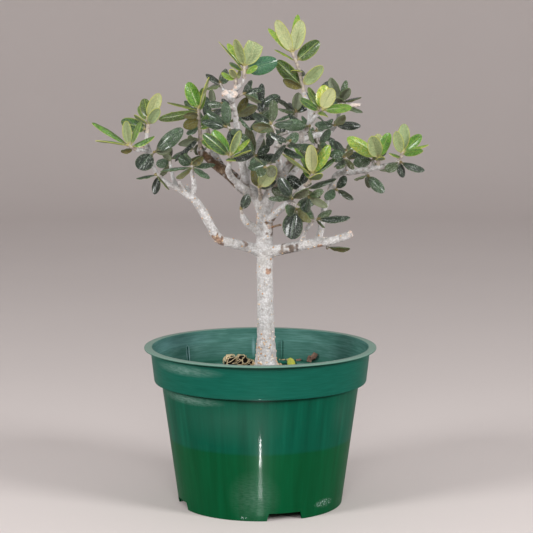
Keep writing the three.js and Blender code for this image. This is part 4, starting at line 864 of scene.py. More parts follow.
def notchAndDrain(bearing):
    # what is cut away at one of the foot's notches
    notch, drain = potShape["notch"], potShape["drain"]
    outward = Matrix.Rotation(bearing, 4, "Z")
    wedge = newShape(bpy.ops.mesh.primitive_cube_add, size=1)
    reach = notch["depth"] / 2 * mm
    for vertex in wedge.data.vertices:
        top = vertex.co.z > 0
        half = (notch["width"] + (0 if top else notch["flare"])) / 2 * mm
        vertex.co = Vector((math.copysign(half, vertex.co.x),
                            math.copysign(reach, vertex.co.y) - potShape["footRadius"] * mm,
                            notch["height" if top else "below"] * mm))
    wedge.data.transform(outward)
    hole = newShape(bpy.ops.mesh.primitive_cylinder_add, vertices=drain["sides"], radius=drain["radius"] * mm,
                    depth=drain["depth"] * mm)
    hole.data.transform(outward @ Matrix.Translation((0, -drain["fromAxis"] * mm, drain["z"] * mm)))
    return [wedge, hole]


def wallRib(bearing, low, high):
    size = potShape["rib"]
    rib = newShape(bpy.ops.mesh.primitive_cube_add, size=1)
    rib.scale = (size["thick"] * mm, size["width"] * mm, (high - low) * mm)
    bpy.ops.object.transform_apply(scale=True)
    finishWith(rib, "BEVEL", width=size["bevel"] * mm, segments=2)
    centre = (low + high) / 2
    out = innerRadius(centre) - size["stand"] + size["thick"] / 2
    rib.data.transform(Matrix.Rotation(math.radians(bearing), 4, "Z")
                       @ Matrix.Translation((out * mm, 0, centre * mm))
                       @ Matrix.Rotation(math.atan(potShape["innerWall"]["lean"]), 4, "Y"))
    return rib


def makePot():
    ring = potShape["rings"]
    section = list(potShape["outside"])
    steps = round((ring["from"] - ring["to"]) / ring["pitch"])
    for i in range(steps * 2):
        z = ring["from"] - i * ring["pitch"] / 2
        section.append((innerRadius(z) - (ring["depth"] if i % 2 else 0), z))
    section += potShape["inside"]
    pot = turnedPiece("nurseryPot", section, potShape["sides"])
    cutters = []
    for i in range(potShape["notch"]["count"]):
        cutters += notchAndDrain(math.radians(potShape["notch"]["turn"] + 360 / potShape["notch"]["count"] * i))
    cutter = joinPieces("potCutter", cutters)
    closeUp(cutter)
    finishWith(pot, "BOOLEAN", operation="DIFFERENCE", object=cutter, solver="EXACT")
    bpy.data.objects.remove(cutter)
    pot = joinPieces("nurseryPot", [pot, *[wallRib(*rib) for rib in potShape["ribs"]]])
    pot.data.materials.clear()
    for plastic in potPlastic:
        pot.data.materials.append(plastic)
    # faces round the band's underside wear the plastic without its coat, so the glint strip leaves no spot on them;
    # the painted shade line under the band lies on them
    uncoatedFrom, uncoatedTo = potShape["uncoatedBand"]
    for face in pot.data.polygons:
        x, y, z = face.center / mm
        fromAxis = math.hypot(x, y)
        facesAxis = face.normal.x * x + face.normal.y * y < -0.1 * fromAxis
        limed = z > potShape["limedFrom"] and (facesAxis or fromAxis < potShape["ribsWithin"])
        face.material_index = 1 if limed else 2 if uncoatedFrom < z < uncoatedTo else 0
    smoothTo(pot, 28)
    standFor(pot, "pot")


makePot()
print("pot made")


# soil and litter

soilShape = {
    "sides": 96,
    "edgeRadius": 67.6, "edgeZ": 84.3, "floorRadius": 64, "floorZ": 60,
    "insets": 26, "insetBy": 2.5,
    # the mound round the trunk
    "trunkX": 4.1, "crownZ": 96.6, "holeRadius": 10, "slopeLength": 58, "slopePower": 1.6,
    "waves": {"height": 0.9, "acrossX": 0.21, "shiftX": 1, "acrossY": 0.17},
    "rim": 1,                                       # this much at the edge stays as it is
    "lumps": [(1.1, 0.22, 3), (0.8, 0.6, 9)],       # height, how fine, and the layer of noise
    "crumbs": 620, "crumbReach": (0.02, 0.97), "crumbSize": (0.5, 1.9), "crumbLift": 0.3,
    # pale grit round the trunk's foot: how many, nearest, how far out, power of the spread, size, how far each
    # stands out as a share of its size, and how high they are heaped up
    "gritRings": [(46, 9, 9, 2, (0.5, 1.1), 0.5, 0), (60, 10, 4.5, 1, (0.5, 1.0), 1, 2.4)],
    # and in patches: how many, across, in depth, size, share that stands out, height of the heap
    "gritPatches": [(34, (-12, 0), (-6, 18), (0.4, 0.9), 0.6, 0), (22, (-7.5, -4.5), (-8, 5), (0.5, 1.0), 1, 2.6)],
    # bits on the pot's inner ledge: how many, across, in depth, height, size
    "ledgeGrit": (7, (13, 21), (67.2, 68.4), 90.2, (0.35, 0.8)),
    "ledgeFlakes": (6, (26, 32), (64, 65.5), 90.4, (0.6, 1.3)),
}


def soilHeight(x, y):
    share = (math.hypot(x - soilShape["trunkX"], y) - soilShape["holeRadius"]) / soilShape["slopeLength"]
    share = min(max(share, 0), 1)
    mound = soilShape["edgeZ"] + (soilShape["crownZ"] - soilShape["edgeZ"]) * (1 - share) ** soilShape["slopePower"]
    waves = soilShape["waves"]
    return mound + waves["height"] * math.sin(waves["acrossX"] * x + waves["shiftX"]) * math.cos(waves["acrossY"] * y)


crumbLook = {"lumps": 0.35, "fine": 1.7, "squeeze": (0.7, 1.3)}


def crumbModel(name, material):
    crumb = newShape(bpy.ops.mesh.primitive_ico_sphere_add, subdivisions=1, radius=1)
    crumb.name = name
    for vertex in crumb.data.vertices:
        vertex.co *= 1 + crumbLook["lumps"] * noise.noise(vertex.co * crumbLook["fine"])
    crumb.data.materials.append(material)
    return crumb


def scatter(model, places, seed):
    # one copy of the model's mesh at each place, turned and squeezed at random
    chance = random.Random(seed)
    copies = []
    for x, y, z, size in places:
        copy = copyOf(model, model.name)
        shape = Matrix.Diagonal((*[size * mm * chance.uniform(*crumbLook["squeeze"]) for _ in range(3)], 1))
        turn = Matrix.Rotation(chance.uniform(0, anyTurn), 4, Vector([chance.uniform(-1, 1) for _ in range(3)]))
        copy.data.transform(Matrix.Translation((x * mm, y * mm, z * mm)) @ turn @ shape)
        copies.append(copy)
    bpy.data.objects.remove(model)
    return copies


def crumbPlaces(chance):
    places = []
    for _ in range(soilShape["crumbs"]):
        radius = soilShape["edgeRadius"] * math.sqrt(chance.uniform(*soilShape["crumbReach"]))
        bearing = chance.uniform(0, 2 * math.pi)
        x, y = radius * math.cos(bearing), radius * math.sin(bearing)
        size = chance.uniform(*soilShape["crumbSize"])
        places.append((x, y, soilHeight(x, y) + size * soilShape["crumbLift"], size))
    return places


def gritPlaces(chance):
    places = []
    for count, nearest, reach, power, sizes, lift, heap in soilShape["gritRings"]:
        for _ in range(count):
            bearing = chance.uniform(0, 2 * math.pi)
            radius = nearest + reach * chance.random() ** power
            x, y = soilShape["trunkX"] + radius * math.cos(bearing), radius * math.sin(bearing)
            size = chance.uniform(*sizes)
            rise = heap * (nearest + reach - radius) / reach * chance.random() if heap else 0
            places.append((x, y, soilHeight(x, y) + size * lift + rise, size))
    for count, (left, right), depths, sizes, lift, heap in soilShape["gritPatches"]:
        for _ in range(count):
            x, y = chance.uniform(left, right), chance.uniform(*depths)
            size = chance.uniform(*sizes)
            rise = heap * (x - left) / (right - left) * chance.random() if heap else 0
            places.append((x, y, soilHeight(x, y) + size * lift + rise, size))
    return places


def ledgePlaces(chance, count, across, depths, z, sizes):
    return [(chance.uniform(*across), chance.uniform(*depths), z, chance.uniform(*sizes)) for _ in range(count)]


def makeSoil():
    edge, edgeZ = soilShape["edgeRadius"], soilShape["edgeZ"]
    soil = newShape(bpy.ops.mesh.primitive_circle_add, vertices=soilShape["sides"], radius=edge * mm,
                    fill_type="NGON", location=(0, 0, edgeZ * mm))
    openAll(soil, "FACE")
    for _ in range(soilShape["insets"]):
        bpy.ops.mesh.inset(thickness=soilShape["insetBy"] * mm)
    bpy.ops.mesh.select_all(action="SELECT")
    bpy.ops.mesh.region_to_loop()
    drawOut([(edge, edgeZ), (soilShape["floorRadius"], soilShape["floorZ"])])
    fillEnd()

    def raised(place):
        x, y, z = place
        if z < edgeZ - soilShape["rim"] or math.hypot(x, y) > edge - soilShape["rim"]:
            return place
        rough = sum(height * noise.noise(Vector((x, y, layer)) * fine) for height, fine, layer in soilShape["lumps"])
        return (x, y, soilHeight(x, y) + rough)

    moveVertices(soil, raised)
    soil.data.materials.clear()
    soil.data.materials.append(peat)
    chance = random.Random(seeds["soil"])
    dark = scatter(crumbModel("crumb", barkFines), crumbPlaces(chance), seeds["crumbs"])
    places = gritPlaces(chance) + ledgePlaces(chance, *soilShape["ledgeGrit"])
    pale = scatter(crumbModel("grit", paleGrit), places, seeds["grit"])
    places = ledgePlaces(chance, *soilShape["ledgeFlakes"])
    flakes = scatter(crumbModel("flake", chipBark), places, seeds["flakes"])
    soil = joinPieces("pottingSoil", [soil, *dark, *pale, *flakes])
    smoothTo(soil, 50)
    standFor(soil, "soil")


clumpShape = {
    # x, y, z, half width and half height of each lobe
    "lobes": [(-21.6, 13, 98.4, 5.2, 5.2), (-13.4, 14, 98.8, 4.8, 5.0), (-17, 14, 95, 6.5, 5),
              (-7.5, 15, 97, 3.2, 3.2)],
    "depth": 0.8,                       # of a lobe, as a share of its width
    "core": (0.78, 0.25, 2.3),          # size, lumpiness and how fine the lumps are
    "fibres": 112, "fibreKnots": 5, "fibreRadius": (0.16, 0.34), "fibreEnds": 0.6,
    "curl": (0.5, 1.3), "stray": 0.12,
}


def clumpCore():
    least, lumpiness, fine = clumpShape["core"]
    cores = []
    for x, y, z, across, up in clumpShape["lobes"]:
        middle, reach = Vector((x, y, z)), Vector((across, across * clumpShape["depth"], up))
        core = newShape(bpy.ops.mesh.primitive_ico_sphere_add, subdivisions=3, radius=1)
        for vertex in core.data.vertices:
            lump = least + lumpiness * noise.noise(vertex.co * fine + middle)
            vertex.co = (middle + vertex.co * reach * lump) * mm
        cores.append(core)
    core = joinPieces("clumpCore", cores)
    core.data.materials.append(mossShade)
    return core


def fibreLine(chance):
    # a fibre curls over one of the lobes
    x, y, z, across, up = chance.choice(clumpShape["lobes"])
    stray, last = clumpShape["stray"], clumpShape["fibreKnots"] - 1
    out = Vector([chance.gauss(0, 1) for _ in range(3)]).normalized()
    side = out.orthogonal().normalized()
    side.rotate(Matrix.Rotation(chance.uniform(0, anyTurn), 3, out))
    curl = chance.uniform(*clumpShape["curl"])
    line = []
    for k in range(last + 1):
        swing = (k / last - 0.5) * 2 * curl
        point = out * math.cos(swing) + side * math.sin(swing)
        point += Vector([chance.uniform(-stray, stray) for _ in range(3)])
        line.append(((x + point.x * across, y + point.y * across * clumpShape["depth"], z + point.z * up),
                     chance.uniform(*clumpShape["fibreRadius"]) * (clumpShape["fibreEnds"] if k in (0, last) else 1)))
    return line


def makeClump():
    # lobes of curled moss fibre round a dark core
    core = clumpCore()
    chance = random.Random(seeds["clump"])
    fibres = tubesThrough("mossFibres", [fibreLine(chance) for _ in range(clumpShape["fibres"])], sides=1)
    fibres.data.materials.append(driedMoss)
    clump = joinPieces("mossClump", [core, fibres])
    smoothTo(clump, 60)
    standFor(clump, "potting_clump")


chipShape = {
    "blocks": [((36.9, 60, 92.2), 20), ((40.1, 59.6, 94.5), 35)],       # middle, and lean in degrees
    "size": (3.7, 3.3, 4.7),
    "bevel": 0.7,
    "flaking": 0.55,
}


def makeChips():
    # a snapped flake of bark that rests on the pot's inner ledge
    chips = []
    for middle, lean in chipShape["blocks"]:
        chip = newShape(bpy.ops.mesh.primitive_cube_add, size=1)
        chip.scale = Vector(chipShape["size"]) * mm
        bpy.ops.object.transform_apply(scale=True)
        openAll(chip)
        bpy.ops.mesh.bevel(offset=chipShape["bevel"] * mm, segments=2, affect="EDGES")
        bpy.ops.mesh.subdivide(number_cuts=2, smoothness=0)
        bpy.ops.object.mode_set(mode="OBJECT")
        chip.data.transform(Matrix.Translation(Vector(middle) * mm) @ Matrix.Rotation(math.radians(lean), 4, "Y"))
        chips.append(chip)
    chip = joinPieces("barkChip", chips)
    flaking = chipShape["flaking"]
    # without a seed of its own, noise_vector starts from the clock and each run gives another chip
    noise.seed_set(seeds["bark chip"])
    moveVertices(chip, lambda place: place + noise.noise_vector(place * flaking) * flaking)
    chip.data.materials.append(chipBark)
    smoothTo(chip, 40)
    standFor(chip, "bark_chip")


makeSoil()
makeClump()
makeChips()
print("soil and litter made")


# bark and lenticels

woodShape = {
    "voxel": 0.6, "quickVoxel": 1.08,
    "smoothing": 5,
    "swellings": [(0.4, 9.0), (0.35, 2.6)],     # height and spread: knobs, then the bark's own relief
    "spurFoot": 0.3,                            # how much thicker a spur is where it leaves its limb
    "deadTwig": [((6, -2, 197.2), 1.3), ((11, -4, 198.6), 1.0), ((14.5, -5, 200), 0.8)],
    # painted shade on the undersides and peeling in ragged spots: where each starts and over what height it grows
    "underShade": (214, 14, 0.35), "raggedPeel": (205, 20, 1.3), "leastPeel": 0.4, "mostPeel": 0.7,
    "facing": 0.25,                             # a face is painted shaded when it looks up less than this
    # edges of the patches: how fine and how ragged, where they end and over what share they fade
    "edgeFine": 0.35, "edgeRagged": 0.9, "edgeEnd": 1.15, "edgeFade": 0.35,
    # lenticels: how many, how low they go, size, and their share up to each height
    "nubs": 470, "nubsFrom": 94, "nubSize": (0.35, 0.85), "footNubs": (118, 1.3), "nubHeight": 0.7,
    "nubShares": [(120, 1.0), (195, 0.25), (226, 0.35), (400, 0.08)],
}

# patches where the pale bark is gone or stained: place, reach, and how much brown, bare wood and orange
barkPatches = [
    ((-29.5, -12.5, 188.6), 4.2, (0.8, 0.0, 0.35)),       # pruning scar at the elbow
    ((-43.5, -18, 216.5), 1.4, (0.9, 0.0, 0.0)),
    ((-11.4, -6, 186), 2.2, (0.6, 0.0, 0.2)),
    # the band on the right lower branch: bare bark, and partly painted shade
    ((18, -7, 181), 4.5, (0.75, 0.0, 0.0)),
    ((24, -9, 183), 4.5, (0.85, 0.0, 0.0)),
    ((42, -17, 185), 2.0, (0.4, 0.0, 0.8)),
    ((65, -18, 195.5), 2.6, (0.0, 0.9, 0.3)),
    # the left limb is brown along its length: partly its own browner bark, partly painted shade under the leaves
    # above it
    ((-38, 12, 245), 7.5, (1.0, 0.0, 0.0)),
    ((-30, 10, 238), 9.0, (1.0, 0.0, 0.0)),
    ((-21, 7, 231), 8.0, (1.0, 0.0, 0.0)),
    ((-12, 3, 224), 5.0, (0.6, 0.0, 0.0)),
    ((12, -14, 226), 4.0, (0.4, 0.0, 0.3)),
    ((22, -19, 246), 4.5, (0.8, 0.0, 0.0)),
    ((28, -14, 262), 4.0, (0.5, 0.0, 0.0)),
    ((-26, -17, 293), 3.4, (0.0, 0.6, 0.05)),
    ((-17, -17, 293), 3.2, (0.0, 0.6, 0.1)),
    ((66, -3, 283), 6.0, (0.0, 0.55, 0.0)),
    ((-17, -9, 297), 2.2, (0.0, 0.8, 0.3)),
    ((-20, -8, 293.5), 2.6, (0.0, 0.6, 0.0)),
    ((11, -4, 198.6), 6.0, (1.0, 0.0, 0.0)),
    ((7, -5, 198), 2.4, (0.35, 0.0, 0.3)),
    ((6, -5, 166), 2.2, (0.4, 0.0, 0.6)),
    ((61, 8, 283), 3.5, (0.0, 0.8, 0.3)),
    ((-82, -10, 255), 3.0, (0.0, 0.6, 0.3)),
]


def barkMaterial():
    # olive bark on young wood: chalky pale grey skin with a bloom that lights its edges, cracked and mottled,
    # brown where it has peeled and as painted shade under the crown's limbs, pinkish cream where it was cut
    material, tree, surface = newMaterial("oliveBark", {
        "Roughness": 0.85, "IOR": 1.45, "Specular IOR Level": 0.25, "Sheen Weight": 0.35, "Sheen Roughness": 0.5})
    place = objectPlace(tree)
    patch = addNode(tree, "ShaderNodeAttribute", {"attribute_name": "barkTone"}).outputs["Color"]
    peeledAndShaded, bare, rusty = addNode(tree, "ShaderNodeSeparateColor", {0: patch}).outputs
    mottle = noiseAt(tree, place, 260, 6, 0.68)
    flecks = cellsAt(tree, place, 750)
    tone = ramp(tree, mottle, (0.26, "#807d7c"), (0.4, "#adacab"), (0.54, "#c4c4c4"), (0.8, "#d3d3d5"))
    tone = mixed(tree, ramp(tree, noiseAt(tree, place, 70, 4), (0.45, 0.0), (0.7, 0.17)), tone, "#b0a594")
    # the skin is granular: pale grains about 1.3 mm across with darker seams between them
    tone = mixed(tree, ramp(tree, flecks, (0.35, 0.0), (0.65, 0.35)), tone, "#867c74")
    brown = ramp(tree, mottle, (0.32, "#2f2015"), (0.54, "#5c4530"), (0.72, "#a6957f"))
    rust = ramp(tree, mottle, (0.35, "#6b3f28"), (0.55, "#b07a50"), (0.7, "#cdb094"))
    for amount, colour in (peeledAndShaded, brown), (bare, "#e8d3c4"), (rusty, rust):
        tone = mixed(tree, amount, tone, colour)
    upright = addNode(tree, "ShaderNodeMapping", {"Scale": (1, 1, 0.45), "Vector": place}).outputs[0]
    cracks = cellsAt(tree, upright, 330, "DISTANCE_TO_EDGE")
    dress(tree, surface, tone, calc(tree, "SUBTRACT", calc(tree, "ADD", mottle, cracks), flecks), 0.7, 0.6)
    return material


def lenticelMaterial():
    # lenticels: corky tan dots on the bark
    material, tree, surface = newMaterial("corkyLenticel", {"Roughness": 0.9, "Specular IOR Level": 0.2})
    mottle = noiseAt(tree, objectPlace(tree), 300, 2)
    tone = ramp(tree, mottle, (0.36, "#ad8360"), (0.5, "#c6ab8c"), (0.62, "#d6cdc2"))
    tree.links.new(tone, surface.inputs["Base Color"])
    return material


bark = barkMaterial()
lenticel = lenticelMaterial()


def woodLines():
    # a limb that ends where a shoot begins runs on into it, and the other shoots get a short spur
    def spurEnd(shoot):
        return pointAt(shoot["path"], growth["spurLength"] / shoot["length"]), growth["spurRadius"]

    lines = []
    waiting = list(plants)
    for _, rings in limbs:
        line = [((x, y, z), radius) for x, y, z, radius in rings]
        for shoot in waiting:
            if math.dist(shoot["path"][0], rings[-1][:3]) <= growth["limbEndReach"]:
                line.append(spurEnd(shoot))
                waiting.remove(shoot)
                break
        lines.append(line)
    for shoot in waiting:
        lines.append([(shoot["path"][0], growth["spurRadius"] + woodShape["spurFoot"]), spurEnd(shoot)])
    lines.append(woodShape["deadTwig"])
    return lines


def barkTones(mesh):
    # per vertex: how brown (peeled, and painted shade under the crown's limbs), how bare and how orange the bark is
    places, normals = vertexData(mesh, "co") / mm, vertexData(mesh, "normal")
    ragged = np.array([noise.noise(Vector(p) * woodShape["edgeFine"]) for p in places])
    amounts = np.zeros((len(places), 4))
    # limbs in the crown are painted browner below, as painted shade on their undersides
    under, underHeight, underShare = woodShape["underShade"]
    above, aboveHeight, aboveShare = woodShape["raggedPeel"]
    down = np.clip(woodShape["facing"] - normals[:, 2], 0, 1)
    crown = np.clip((places[:, 2] - under) / underHeight, 0, 1) * down
    spots = ragged * aboveShare * np.clip((places[:, 2] - above) / aboveHeight, 0, 1)
    amounts[:, 0] = np.clip(crown * underShare + spots - woodShape["leastPeel"], 0, woodShape["mostPeel"])
    for at, reach, strengths in barkPatches:
        away = np.sqrt(((places - np.array(at)) ** 2).sum(1)) / reach + ragged * woodShape["edgeRagged"]
        cover = np.clip((woodShape["edgeEnd"] - away) / woodShape["edgeFade"], 0, 1)
        for channel, strength in enumerate(strengths):
            amounts[:, channel] = np.maximum(amounts[:, channel], cover * strength)
    amounts[:, 3] = 1
    return amounts


def makeNubs(mesh):
    # lenticels sit on the skin, closest together at the foot of the trunk
    chance = random.Random(seeds["lenticels"])
    model = crumbModel("lenticel", lenticel)
    footZ, footGrowth = woodShape["footNubs"]
    nubs = []
    while len(nubs) < woodShape["nubs"]:
        face = mesh.polygons[chance.randrange(len(mesh.polygons))]
        z = face.center.z / mm
        wanted = next(share for top, share in woodShape["nubShares"] if z < top)
        if z < woodShape["nubsFrom"] or chance.random() > wanted:
            continue
        size = chance.uniform(*woodShape["nubSize"]) * (footGrowth if z < footZ else 1.0)
        nub = copyOf(model, "lenticel")
        flat = Matrix.Diagonal((size * mm, size * mm, size * woodShape["nubHeight"] * mm, 1))
        nub.data.transform(Matrix.Translation(face.center)
                           @ face.normal.to_track_quat("Z", "Y").to_matrix().to_4x4() @ flat)
        nubs.append(nub)
    bpy.data.objects.remove(model)
    return nubs


def makeWood():
    wood = tubesThrough("trunkAndLimbs", woodLines(), sides=5)
    voxel = woodShape["voxel"]
    finishWith(wood, "REMESH", mode="VOXEL", voxel_size=voxel * mm, use_smooth_shade=True)
    finishWith(wood, "SMOOTH", factor=0.5, iterations=woodShape["smoothing"])
    for height, spread in woodShape["swellings"]:
        clouds = bpy.data.textures.new("swelling", "CLOUDS")
        clouds.noise_scale = spread * mm
        clouds.noise_depth = 2
        finishWith(wood, "DISPLACE", texture=clouds, texture_coords="LOCAL", strength=height * mm * 2, mid_level=0.5)
    paintVertices(wood.data, "barkTone", barkTones(wood.data))
    wood.data.materials.clear()
    wood.data.materials.append(bark)
    wood = joinPieces("trunkAndLimbs", [wood, *makeNubs(wood.data)])
    smoothTo(wood, 60)
    standFor(wood, "trunk_and_branches")
    print("wood faces:", len(wood.data.polygons))


makeWood()


# leaves

leafLook = {
    "u": (0.0, 0.05, 0.1, 0.17, 0.27, 0.4, 0.54, 0.67, 0.79, 0.89, 0.96, 1.0),
    "v": (-1.0, -0.86, -0.42, 0.0, 0.42, 0.86, 1.0),
    "petiole": 0.1,           # share of the leaf's length
    "petioleHalf": 0.6,
    "squareEnd": 0.8,         # where a cut leaf ends, as a share of its whole length
    "thickness": 0.42,
    "groove": 0.22,           # depth of the midrib's groove
    "roll": 0.18,             # fall of the rolled edge, as a share of the width
    # how much each leaf differs from the rest
    "anyRoll": (0.7, 1.4), "anyFold": (0.2, 1.2), "anyCurl": (-0.3, 1.4), "ripples": (11, 17), "rippleStart": (0, 6),
    # its colour: spread of a young leaf's shade, tones of o leaves, whose under side is painted shade, and of dark
    # leaves, yellowing, and pale dots of scales and painted glints
    "youngShade": (-0.08, 0.08), "paintedShadeTone": (0.0, 0.15), "darkShade": (0.1, 0.95),
    "yellowing": (-0.04, 0.1), "scales": (0.3, 1.0),
    "old": {"curl": 0.07, "twist": 0.35, "wave": 0.35, "fold": 0.2, "bend": 0.06, "broad": 1.03, "fullness": 0.58},
    "new": {"curl": -0.02, "twist": 0.15, "wave": 0.2, "fold": 0.1, "bend": 0.03, "broad": 1.05, "fullness": 0.52},
}
twigLook = {
    "radius": {"old": 1.25, "new": 1.5},
    "taper": 0.35,            # lost between root and tip
    "overlap": 0.8,           # length that lies inside the spur
    "bud": (1.0, 1.0, 2.4),
    "budTaper": 0.75,
}

# how old each listed leaf of a young shoot looks, in order: d dark, o olive, m mottled, w waxy bluish green,
# g green, s sage, b bright, l lime, c lime with its end cut square, y yellow; its filler leaves are green
# an o leaf's under side is painted dark olive-brown, as it looks in shade
leafKinds = {
    "far left": "bbsgo", "left upright": "slmgmm", "front left bright": "bmslbd", "mid left": "blmmgoodsdog",
    "upright tip": "lll", "upright top": "glslwc", "centre low": "ldo", "yellow right": "yyggb",
    "leader": "lllllmsmod", "yellow centre": "ylbsgdd", "right limb b": "lslb", "right end": "ssblsb",
}
kindShades = {"m": 0.06, "g": 0.22, "s": 0.42, "b": 0.42, "l": 0.78, "c": 0.62, "y": 1.0}


def leafMaterial(name, tones, scaleAndGlintTone, scaleAndGlintShare, rough, veinTone, stalkTone, rimTone, rimShare, relief, coat=0.0):
    # a leathery leaf: waxy upper side with sunken veins, felted under side
    material, tree, surface = newMaterial(name, {
        "IOR": 1.45, "Roughness": rough, "Specular IOR Level": 0.45, "Coat Weight": coat, "Coat Roughness": 0.16})
    texture = addNode(tree, "ShaderNodeTexCoord", {})
    place = texture.outputs["Object"]
    along, across, _ = addNode(tree, "ShaderNodeSeparateXYZ", {0: texture.outputs["UV"]}).outputs
    own = addNode(tree, "ShaderNodeAttribute", {"attribute_name": "leafTone"}).outputs["Color"]
    light, yellowing, scaleAndGlintAmount = addNode(tree, "ShaderNodeSeparateColor", {0: own}).outputs
    # distance from the midrib, 0 to 0.5
    aside = calc(tree, "ABSOLUTE", calc(tree, "SUBTRACT", across, 0.5))
    mottle = noiseAt(tree, place, 560, 4, 0.65)
    tone = ramp(tree, calc(tree, "ADD", light, calc(tree, "MULTIPLY_ADD", mottle, 1.3, -0.65)), *tones)
    # side veins leave the midrib at a slant, about 2 mm apart
    slant = calc(tree, "MULTIPLY_ADD", aside, -0.55, along)
    sideVeins = fade(tree, calc(tree, "PINGPONG", calc(tree, "MULTIPLY", slant, 9.0), 0.5), 0.0, 0.16, 1.0, 0.0)
    midrib = fade(tree, aside, 0.02, 0.055, 1.0, 0.0)
    veins = calc(tree, "MAXIMUM", midrib, calc(tree, "MULTIPLY", sideVeins, 0.5))
    tone = mixed(tree, calc(tree, "MULTIPLY", veins, 0.55), tone, veinTone)
    # the edge is thinner and paler than the blade
    tone = mixed(tree, fade(tree, aside, 0.4, 0.49, 0.0, rimShare), tone, rimTone)
    # pale dots, drawn about 1 mm apart so that they show, thick in some places only: partly star scales, partly
    # painted glints of light on the bumpy surface
    scalesAndGlints = fade(tree, cellsAt(tree, place, 1000), 0.15, 0.5, scaleAndGlintShare, 0.0)
    drifts = fade(tree, noiseAt(tree, place, 240, 3), 0.36, 0.58)
    tone = mixed(tree, calc(tree, "MULTIPLY", calc(tree, "MULTIPLY", scalesAndGlints, scaleAndGlintAmount), drifts), tone, scaleAndGlintTone)
    # petiole and tip pale to yellow
    tone = mixed(tree, fade(tree, along, 0.08, 0.2, 0.85, 0.0), tone, stalkTone)
    tone = mixed(tree, yellowing, tone, "#a8a244")
    dress(tree, surface, tone, calc(tree, "MULTIPLY_ADD", veins, -1.0, mottle), 0.75, relief)
    return material


def twigMaterial(name, low, high, rough):
    # thin young bark and bud scales: smooth, faintly downy
    return mottledMaterial(name, {"Roughness": rough, "Specular IOR Level": 0.3},
                           (500, 4, 0.5), [(0.35, low), (0.65, high)], (0.4, 0.3))


leafMaterials = [
    # upper side, under side and margin: three for an old leaf, then three for a young one
    leafMaterial("waxyLeafOld", [(0.0, "#060d09"), (0.45, "#16281b"), (1.0, "#4c6847")],
                 "#c3cdc2", 0.8, 0.32, "#4d6148", "#8a8a5e", "#55703c", 0.4, 1.6, 0.55),
    # the dark olive-brown end of this ramp is painted shade: the under side as it looks in shadow
    leafMaterial("feltedLeafUnderOld", [(0.0, "#645c1c"), (0.3, "#5a5a42"), (1.0, "#86917a")],
                 "#b0b49c", 0.5, 0.8, "#7d826b", "#8a8a5e", "#666d42", 0.4, 0.8),
    leafMaterial("leafMarginOld", [(0.0, "#2c3a24"), (1.0, "#647748")],
                 "#b5b9a4", 0.0, 0.6, "#4d5c33", "#8a8a5e", "#647748", 0.4, 0.1),
    leafMaterial("waxyLeafYoung", [(0.0, "#1c3a1b"), (0.25, "#38611f"), (0.5, "#548a20"), (0.78, "#7da032"),
                                   (1.0, "#b0b23c")],
                 "#cfdabb", 0.4, 0.34, "#9db05c", "#b9ac72", "#a6b440", 0.55, 1, 0.4),
    leafMaterial("feltedLeafUnderYoung", [(0.0, "#62744a"), (0.5, "#8b9c70"), (0.8, "#a4ab7c"), (1.0, "#b2b582")],
                 "#ced3b2", 0.4, 0.75, "#99a273", "#b9ac72", "#b3b865", 0.5, 0.7),
    leafMaterial("leafMarginYoung", [(0.0, "#6b7f34"), (0.5, "#93a043"), (1.0, "#b6b455")],
                 "#d8dcb9", 0.0, 0.6, "#a3a552", "#b9ac72", "#b6b455", 0.5, 0.1),
    leafMaterial("waxyLeafBluish", [(0.0, "#1b4130"), (0.5, "#37694b"), (1.0, "#5a8f5c")],
                 "#c3cfc4", 0.15, 0.3, "#4f7a52", "#b9ac72", "#4a7a3c", 0.5, 0.8, 0.6),
]
twigMaterials = {
    "old": twigMaterial("twigBarkOld", "#8a817a", "#c4c0bb", 0.8),
    "new": twigMaterial("twigBarkYoung", "#857a78", "#b5ab98", 0.75),
}
budMaterials = {
    "old": twigMaterial("budScaleOld", "#6b5c40", "#8f865c", 0.7),
    "new": twigMaterial("budScaleYoung", "#8f8a50", "#b0a870", 0.6),
}


def bladeModel():
    # a flat grid in u and v whose last row is drawn together at the tip; it is fitted to each leaf's place
    down, across = len(leafLook["u"]) - 1, len(leafLook["v"]) - 1
    blade = newShape(bpy.ops.mesh.primitive_grid_add, x_subdivisions=down, y_subdivisions=across, size=1,
                     location=(0.5, 0, 0))
    blade.name = "leafModel"
    bpy.ops.object.transform_apply(location=True)
    for vertex in blade.data.vertices:
        vertex.co.x = leafLook["u"][round(vertex.co.x * down)]
        vertex.co.y = leafLook["v"][round((vertex.co.y + 0.5) * across)]
    for loop, corner in zip(blade.data.uv_layers[0].data, blade.data.loops):
        place = blade.data.vertices[corner.vertex_index].co
        loop.uv = (place.x, place.y / 2 + 0.5)
    bpy.ops.object.mode_set(mode="EDIT")
    bpy.ops.mesh.select_all(action="DESELECT")
    bpy.ops.object.mode_set(mode="OBJECT")
    for vertex in blade.data.vertices:
        vertex.select = vertex.co.x > 0.999
    bpy.ops.object.mode_set(mode="EDIT")
    bpy.ops.mesh.select_mode(type="VERT")
    bpy.ops.mesh.merge(type="CENTER")
    bpy.ops.object.mode_set(mode="OBJECT")
    # a bluish leaf has the under side and margin of a young one
    for material in [*leafMaterials, *leafMaterials[4:6]]:
        blade.data.materials.append(material)
    return blade


